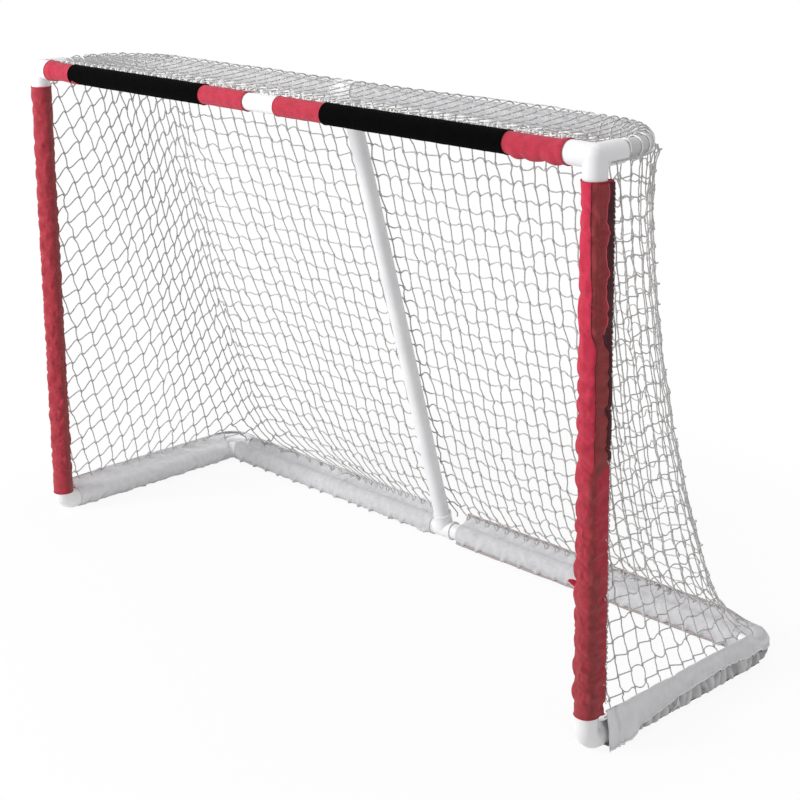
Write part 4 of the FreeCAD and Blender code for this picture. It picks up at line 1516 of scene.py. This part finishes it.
def base_sleeve(node, start, finish, out, seed, material, gathers, with_pieces, crumple=0.045, toe_end=False,
                mitre=0, rise=0.0):
    """The sleeve of one base tube between two points of its centre line; mitre says which end is slanted."""
    along = (finish - start).normalized()
    length = (finish - start).length

    def inner_fold(u, w, centre, narrow):
        """1 on the line of a slanting fold on the sleeve's inner face, 0 away from it."""
        step = (w / 0.056 + 2.6 * (u - 0.45) + 0.9 * drift(w * 8, seed, 6.1)) % 1
        return plateau(0.27, 0.38, 0.54, 0.60, u) * max(1 - abs(step - centre) * narrow, 0)

    def outer_gather(u, w):
        """Gathers of the outer face, which lean to and fro: -1 in the valleys and 1 on the ridges."""
        return folded(w + 0.020 * math.sin(w * 60 + seed) * (u - 0.78) / 0.2, seed, 0.027)

    def place(u, v):
        outward, up = along_points(DROP, u)
        w = v * length
        held = smooth(0, 0.03, min(v, 1 - v) * length)
        crease = noise.fractal(Vector((u * 5 + w * 9, w * 24 - u * 7, seed)), 0.7, 2.0, 4)
        sharp = 1 - abs(2 * drift(u * 4.2 + w * 16, w * 38 - u * 4.2, seed + 9))
        swell = 1 + (0.045 * crease + crumple * (sharp - 0.6)) * held
        outer = plateau(0.66, 0.77, 0.82, 0.92, u) * (0.1 + 0.9 * smooth(0.04, 0.14, w))
        gather = outer_gather(u, w)
        swell += gathers * outer * math.copysign(abs(gather) ** 0.6, gather) * held
        swell += 0.05 * plateau(0.30, 0.42, 0.50, 0.58, u) * folded(w, seed + 4, 0.034) * held
        # long slanting folds hang down the inside
        swell += 3.4 * crumple * inner_fold(u, w, 0.5, 7) * held
        if up > 0.030:
            up += rise * smooth(0.034, HEM_RISE, up)
            up += 0.0025 * drift(w * 14, seed, 0.5)
        if up > HEM_START and toe_end:
            up = HEM_START + (up - HEM_START) * (1 - sunk(length - w))
        reach = math.hypot(outward, up) * swell
        if reach < LEAST_REACH:
            swell *= LEAST_REACH / reach
        slant = smooth(length - 0.05, length, w) if mitre > 0 else smooth(0.05, 0.0, w)
        further = 0.60 * (outward + 0.0248) * slant
        return (start + along * (w + mitre * further) + out * outward * swell
                + Z * max(up * swell, SLEEVE_FLOOR))

    # painted shade: under the flap, most in the valleys of the gathers, and along the inner folds
    def painted_fold_shade(u, v):
        w = v * length
        shade = plateau(0.575, 0.615, 0.95, 0.99, u) * (0.52 - 0.48 * outer_gather(u, w))
        return max(shade, 0.7 * inner_fold(u, w, 0.62, 10))

    around = 0.20
    obj = strip(f"{node}_cloth", 84, int(length / 0.0042), (around, length), place, 0.001, material,
                painted_fold_shade)
    as_piece(obj, "grey_cover", node)
    for piece in with_pieces:
        as_piece(piece, "grey_cover")
    print(obj.name, round(length, 3), "m long, pieces sewn to it:", len(with_pieces))


# %% [markdown]
# The outer flap and the toe
# Over the outside of each side sleeve lies a second, smooth flap. It hangs from the hem, goes round the
# rear corner like the toe of a boot, and has a white edge that waves where the gathered sleeve pushes
# it out. It follows the tube's centre line round the elbow, so it is measured along that line. Under it
# the toe is gathered. A dark roll below the edge is a painted shadow, and a dark line runs along the
# sole. The flap takes painted shade in a crease at its front and on the top of the toe, and the toe
# under it on its outer side and underneath.

# %% The flap and the toe
FLAP_HEM = ((0, -0.0225), (0.06, -0.0190), (0.17, 0.0010), (0.31, 0.0110), (0.38, 0.0185),
            (0.62, 0.0230), (0.82, 0.0180), (1.0, 0.0040))
HANGS_FROM = 0.40
FLAP_FLOOR = -0.0236
TURN_AT = 0.365
SOLE_LINE_OUT, SOLE_LINE_DOWN = 0.0268, 0.0200
LINE_STEPS = 220


def flap_hem(share):
    """Height of the flap's lower edge above the tube's centre line, from the front to the toe."""
    return read_table(FLAP_HEM, share)[0]


def round_corner(side, front_y, w):
    """Centre line of a base side tube and round its elbow, and the direction outwards."""
    straight = BACK_Y - CORNER_R - front_y
    quarter = math.pi / 2 * CORNER_R
    if w < straight:
        return Vector((side * POST_X, front_y + w, BASE_Z)), Vector((side, 0, 0))
    if w < straight + quarter:
        angle = (w - straight) / CORNER_R
        heading = level(angle, side)
        centre = Vector((side * (POST_X - CORNER_R), BACK_Y - CORNER_R, BASE_Z))
        return centre + heading * CORNER_R, heading
    beyond = w - straight - quarter
    return Vector((side * (POST_X - CORNER_R - beyond), BACK_Y, BASE_Z)), Y.copy()


def flap_and_toe(side, word, front_y, seed):
    """The smooth outer flap of a side cover with its white edge, and the gathered toe under it."""
    straight = BACK_Y - CORNER_R - front_y
    total = straight + math.pi / 2 * CORNER_R + 0.032
    toe_from = straight - 0.055

    def flap_point(u, w):
        place, heading = round_corner(side, front_y, w)
        toe = smooth(straight - 0.050, straight + 0.002, w) if side > 0 else 0.0
        a, b = along_points(FLAP, u), along_points(BOOT, u)
        if side > 0:
            near_hem = smooth(0.022, 0.044, a[1])
            a = (a[0] - 0.0015 * near_hem, a[1] + RIGHT_RISE * near_hem)
        outward, up = (p + (q - p) * toe for p, q in zip(a, b))
        hem = flap_hem(w / total) + 0.0042 * folded(w, seed, 0.036) * smooth(0.1, 0.3, w / total)
        if u > HANGS_FROM:
            lower = (u - HANGS_FROM) / (1 - HANGS_FROM)
            flap_up, boot_up = (along_points(section, HANGS_FROM)[1] for section in (FLAP, BOOT))
            top = flap_up * (1 - toe) + boot_up * toe
            if side > 0:
                top += RIGHT_RISE * smooth(0.022, 0.044, flap_up) * (1 - toe)
            up = top + (hem - top) * lower
            outward += (0.0012 + 0.0028 * folded(w, seed, 0.036)) * lower ** 2
        soft = noise.fractal(Vector((u * 2.2 + w * 5, w * 15 - u * 3, seed)), 0.8, 2.0, 3)
        diagonal = smooth(-0.25, 0.75, drift(u * 1.8 + w * 20, w * 8 - u * 3, seed + 6))
        front = 1 - smooth(0.0, 0.16, w)
        outward += 0.0014 * soft + (0.0032 + 0.0060 * front) * diagonal * smooth(0, 0.01, w)
        up += 0.0012 * drift(w * 12, seed, 1.5) * (1 - u)
        return place + heading * outward + Z * max(up, FLAP_FLOOR)

    # painted shade on the flap: a crease near its front and the top of the toe
    def flap_painted_shade(u, v):
        w = total * v
        crease = 0.6 * math.exp(-((w - 0.020 - 0.014 * u) / 0.006) ** 2) * (1 - smooth(0.6, 0.9, u))
        return max(crease, smooth(straight - 0.045, straight + 0.005, w) * (1 - smooth(0.35, 0.62, u)))

    def toe_place(u, v):
        w = toe_from + (total - toe_from) * v
        place, heading = round_corner(side, front_y, w)
        outward, up = along_points(TOE, u)
        fold = 0.0022 * folded(w, seed + 2, 0.020) * plateau(0.45, 0.6, 0.9, 1.0, u)
        if side < 0 and up > 0:
            up += 0.016 * smooth(0.004, 0.024, outward)
        return place + heading * (outward + fold) + Z * max(up, FLAP_FLOOR)

    name = f"base_side_cover_{word}"
    pieces = [strip(f"{name}_flap", 22, 150, (0.07, total), lambda u, v: flap_point(u, total * v), 0.001,
                    flap_cloth, flap_painted_shade),
              # the toe under the flap takes painted shade on its outer side and underneath
              strip(f"{name}_toe", 26, 60, (0.09, 0.13), toe_place, 0.001, grey_cloth,
                    lambda u, v: smooth(0.30, 0.45, u))]
    ways = [total * n / LINE_STEPS for n in range(LINE_STEPS + 1)]
    line = [round_corner(side, front_y, w) for w in ways]
    edge = [flap_point(1.0, w) + heading * 0.0008 for w, (_, heading) in zip(ways, line)]
    pieces.append(piping(f"{name}_edge", edge, 0.0018, white_binding))
    # a dark roll under the flap's edge: painted shadow
    under = [flap_point(0.98, w) - Z * 0.0032 - heading * 0.0004
             for w, (_, heading) in zip(ways[12:], line[12:])]
    pieces.append(piping(f"{name}_edge_shadow", under, 0.0013, dark_grey_cloth))
    # a dark line along the sole
    sole = []
    for n in range(50, 191):
        centre, heading = line[n]
        sole.append(centre + heading * (SOLE_LINE_OUT + 0.0005 * math.sin(n * 0.9)) - Z * SOLE_LINE_DOWN)
    pieces.append(piping(f"{name}_sole_line", sole, 0.0012, dark_grey_cloth))
    # where the flap is doubled over, its edge turns down to the floor
    way_down = ((0.0366, flap_hem(TURN_AT)), (0.0378, 0.0050), (0.0366, -0.0050), (0.0325, -0.0130),
                (0.0275, -0.0190))
    turn = []
    for n in range(13):
        outward, up = along_points(way_down, n / 12)
        centre = round_corner(side, front_y, TURN_AT * total - 0.014 * n / 12)[0]
        turn.append(centre + Vector((side * outward, 0, up)))
    pieces.append(piping(f"{name}_edge_turn", turn, 0.0015, white_binding))
    return pieces


print("the flap's edge turns down at", TURN_AT, "of its length, at a height of", round(flap_hem(TURN_AT), 4))

# %% [markdown]
# The base covers in place
# The rear sleeves have no flap. A pale roll runs along the top edge of the left one, and dull threads
# run along the top and the lower inner edge of the right one. Then all four sleeves are made, each
# with the pieces that are sewn to it.

# %% Base covers
REAR_STEPS = 120
LEFT_FURTHER = 0.006


def rear_hems(word, low, high, seed):
    """The rolls along a rear cover's edges: a pale one on the left, two dull ones on the right."""
    top, foot = [], []
    for n in range(REAR_STEPS + 1):
        x = low.x + (high.x - low.x) * n / REAR_STEPS
        rise = 0.0012 * drift(x * 14, seed, 0.5)
        if word == "right":
            rise -= (HEM_RISE - HEM_START) * sunk(high.x - x)
        top.append(Vector((x, BACK_Y + 0.0252, BASE_Z + HEM_RISE + 0.0010 + rise)))
        dip = 0.0016 * drift(x * 22, seed, 3.5)
        foot.append(Vector((x, BACK_Y - 0.0195 + dip, BASE_Z - 0.0188 + 0.5 * dip)))
    if word == "left":
        return [piping(f"base_rear_cover_{word}_top_hem", top, 0.0019, white_binding)]
    return [piping(f"base_rear_cover_{word}_top_hem", top, 0.0032, hem_thread),
            piping(f"base_rear_cover_{word}_foot_hem", foot, 0.0038, hem_thread)]


for side, word in SIDES:
    low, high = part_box(f"base_side_cover_{word}")
    # the left covers reach the elbow's bend, the right ones end under the toe
    further = LEFT_FURTHER if side < 0 else 0
    base_sleeve(f"base_side_cover_{word}", Vector((side * POST_X, low.y, BASE_Z)),
                Vector((side * POST_X, high.y + further, BASE_Z)), Vector((side, 0, 0)), 20.0 + side,
                grey_cloth, 0.19, flap_and_toe(side, word, low.y - 0.012, 50.0 + side), toe_end=side > 0,
                mitre=1 if side < 0 else 0, rise=RIGHT_RISE if side > 0 else 0.0)
    low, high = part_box(f"base_rear_cover_{word}")
    low.x -= further
    base_sleeve(f"base_rear_cover_{word}", Vector((low.x, BACK_Y, BASE_Z)),
                Vector((high.x, BACK_Y, BASE_Z)), Y, 30.0 + side, pale_cloth, 0.05,
                rear_hems(word, low, high, 60.0 + side), crumple=0.085, toe_end=side > 0,
                mitre=-1 if side < 0 else 0)
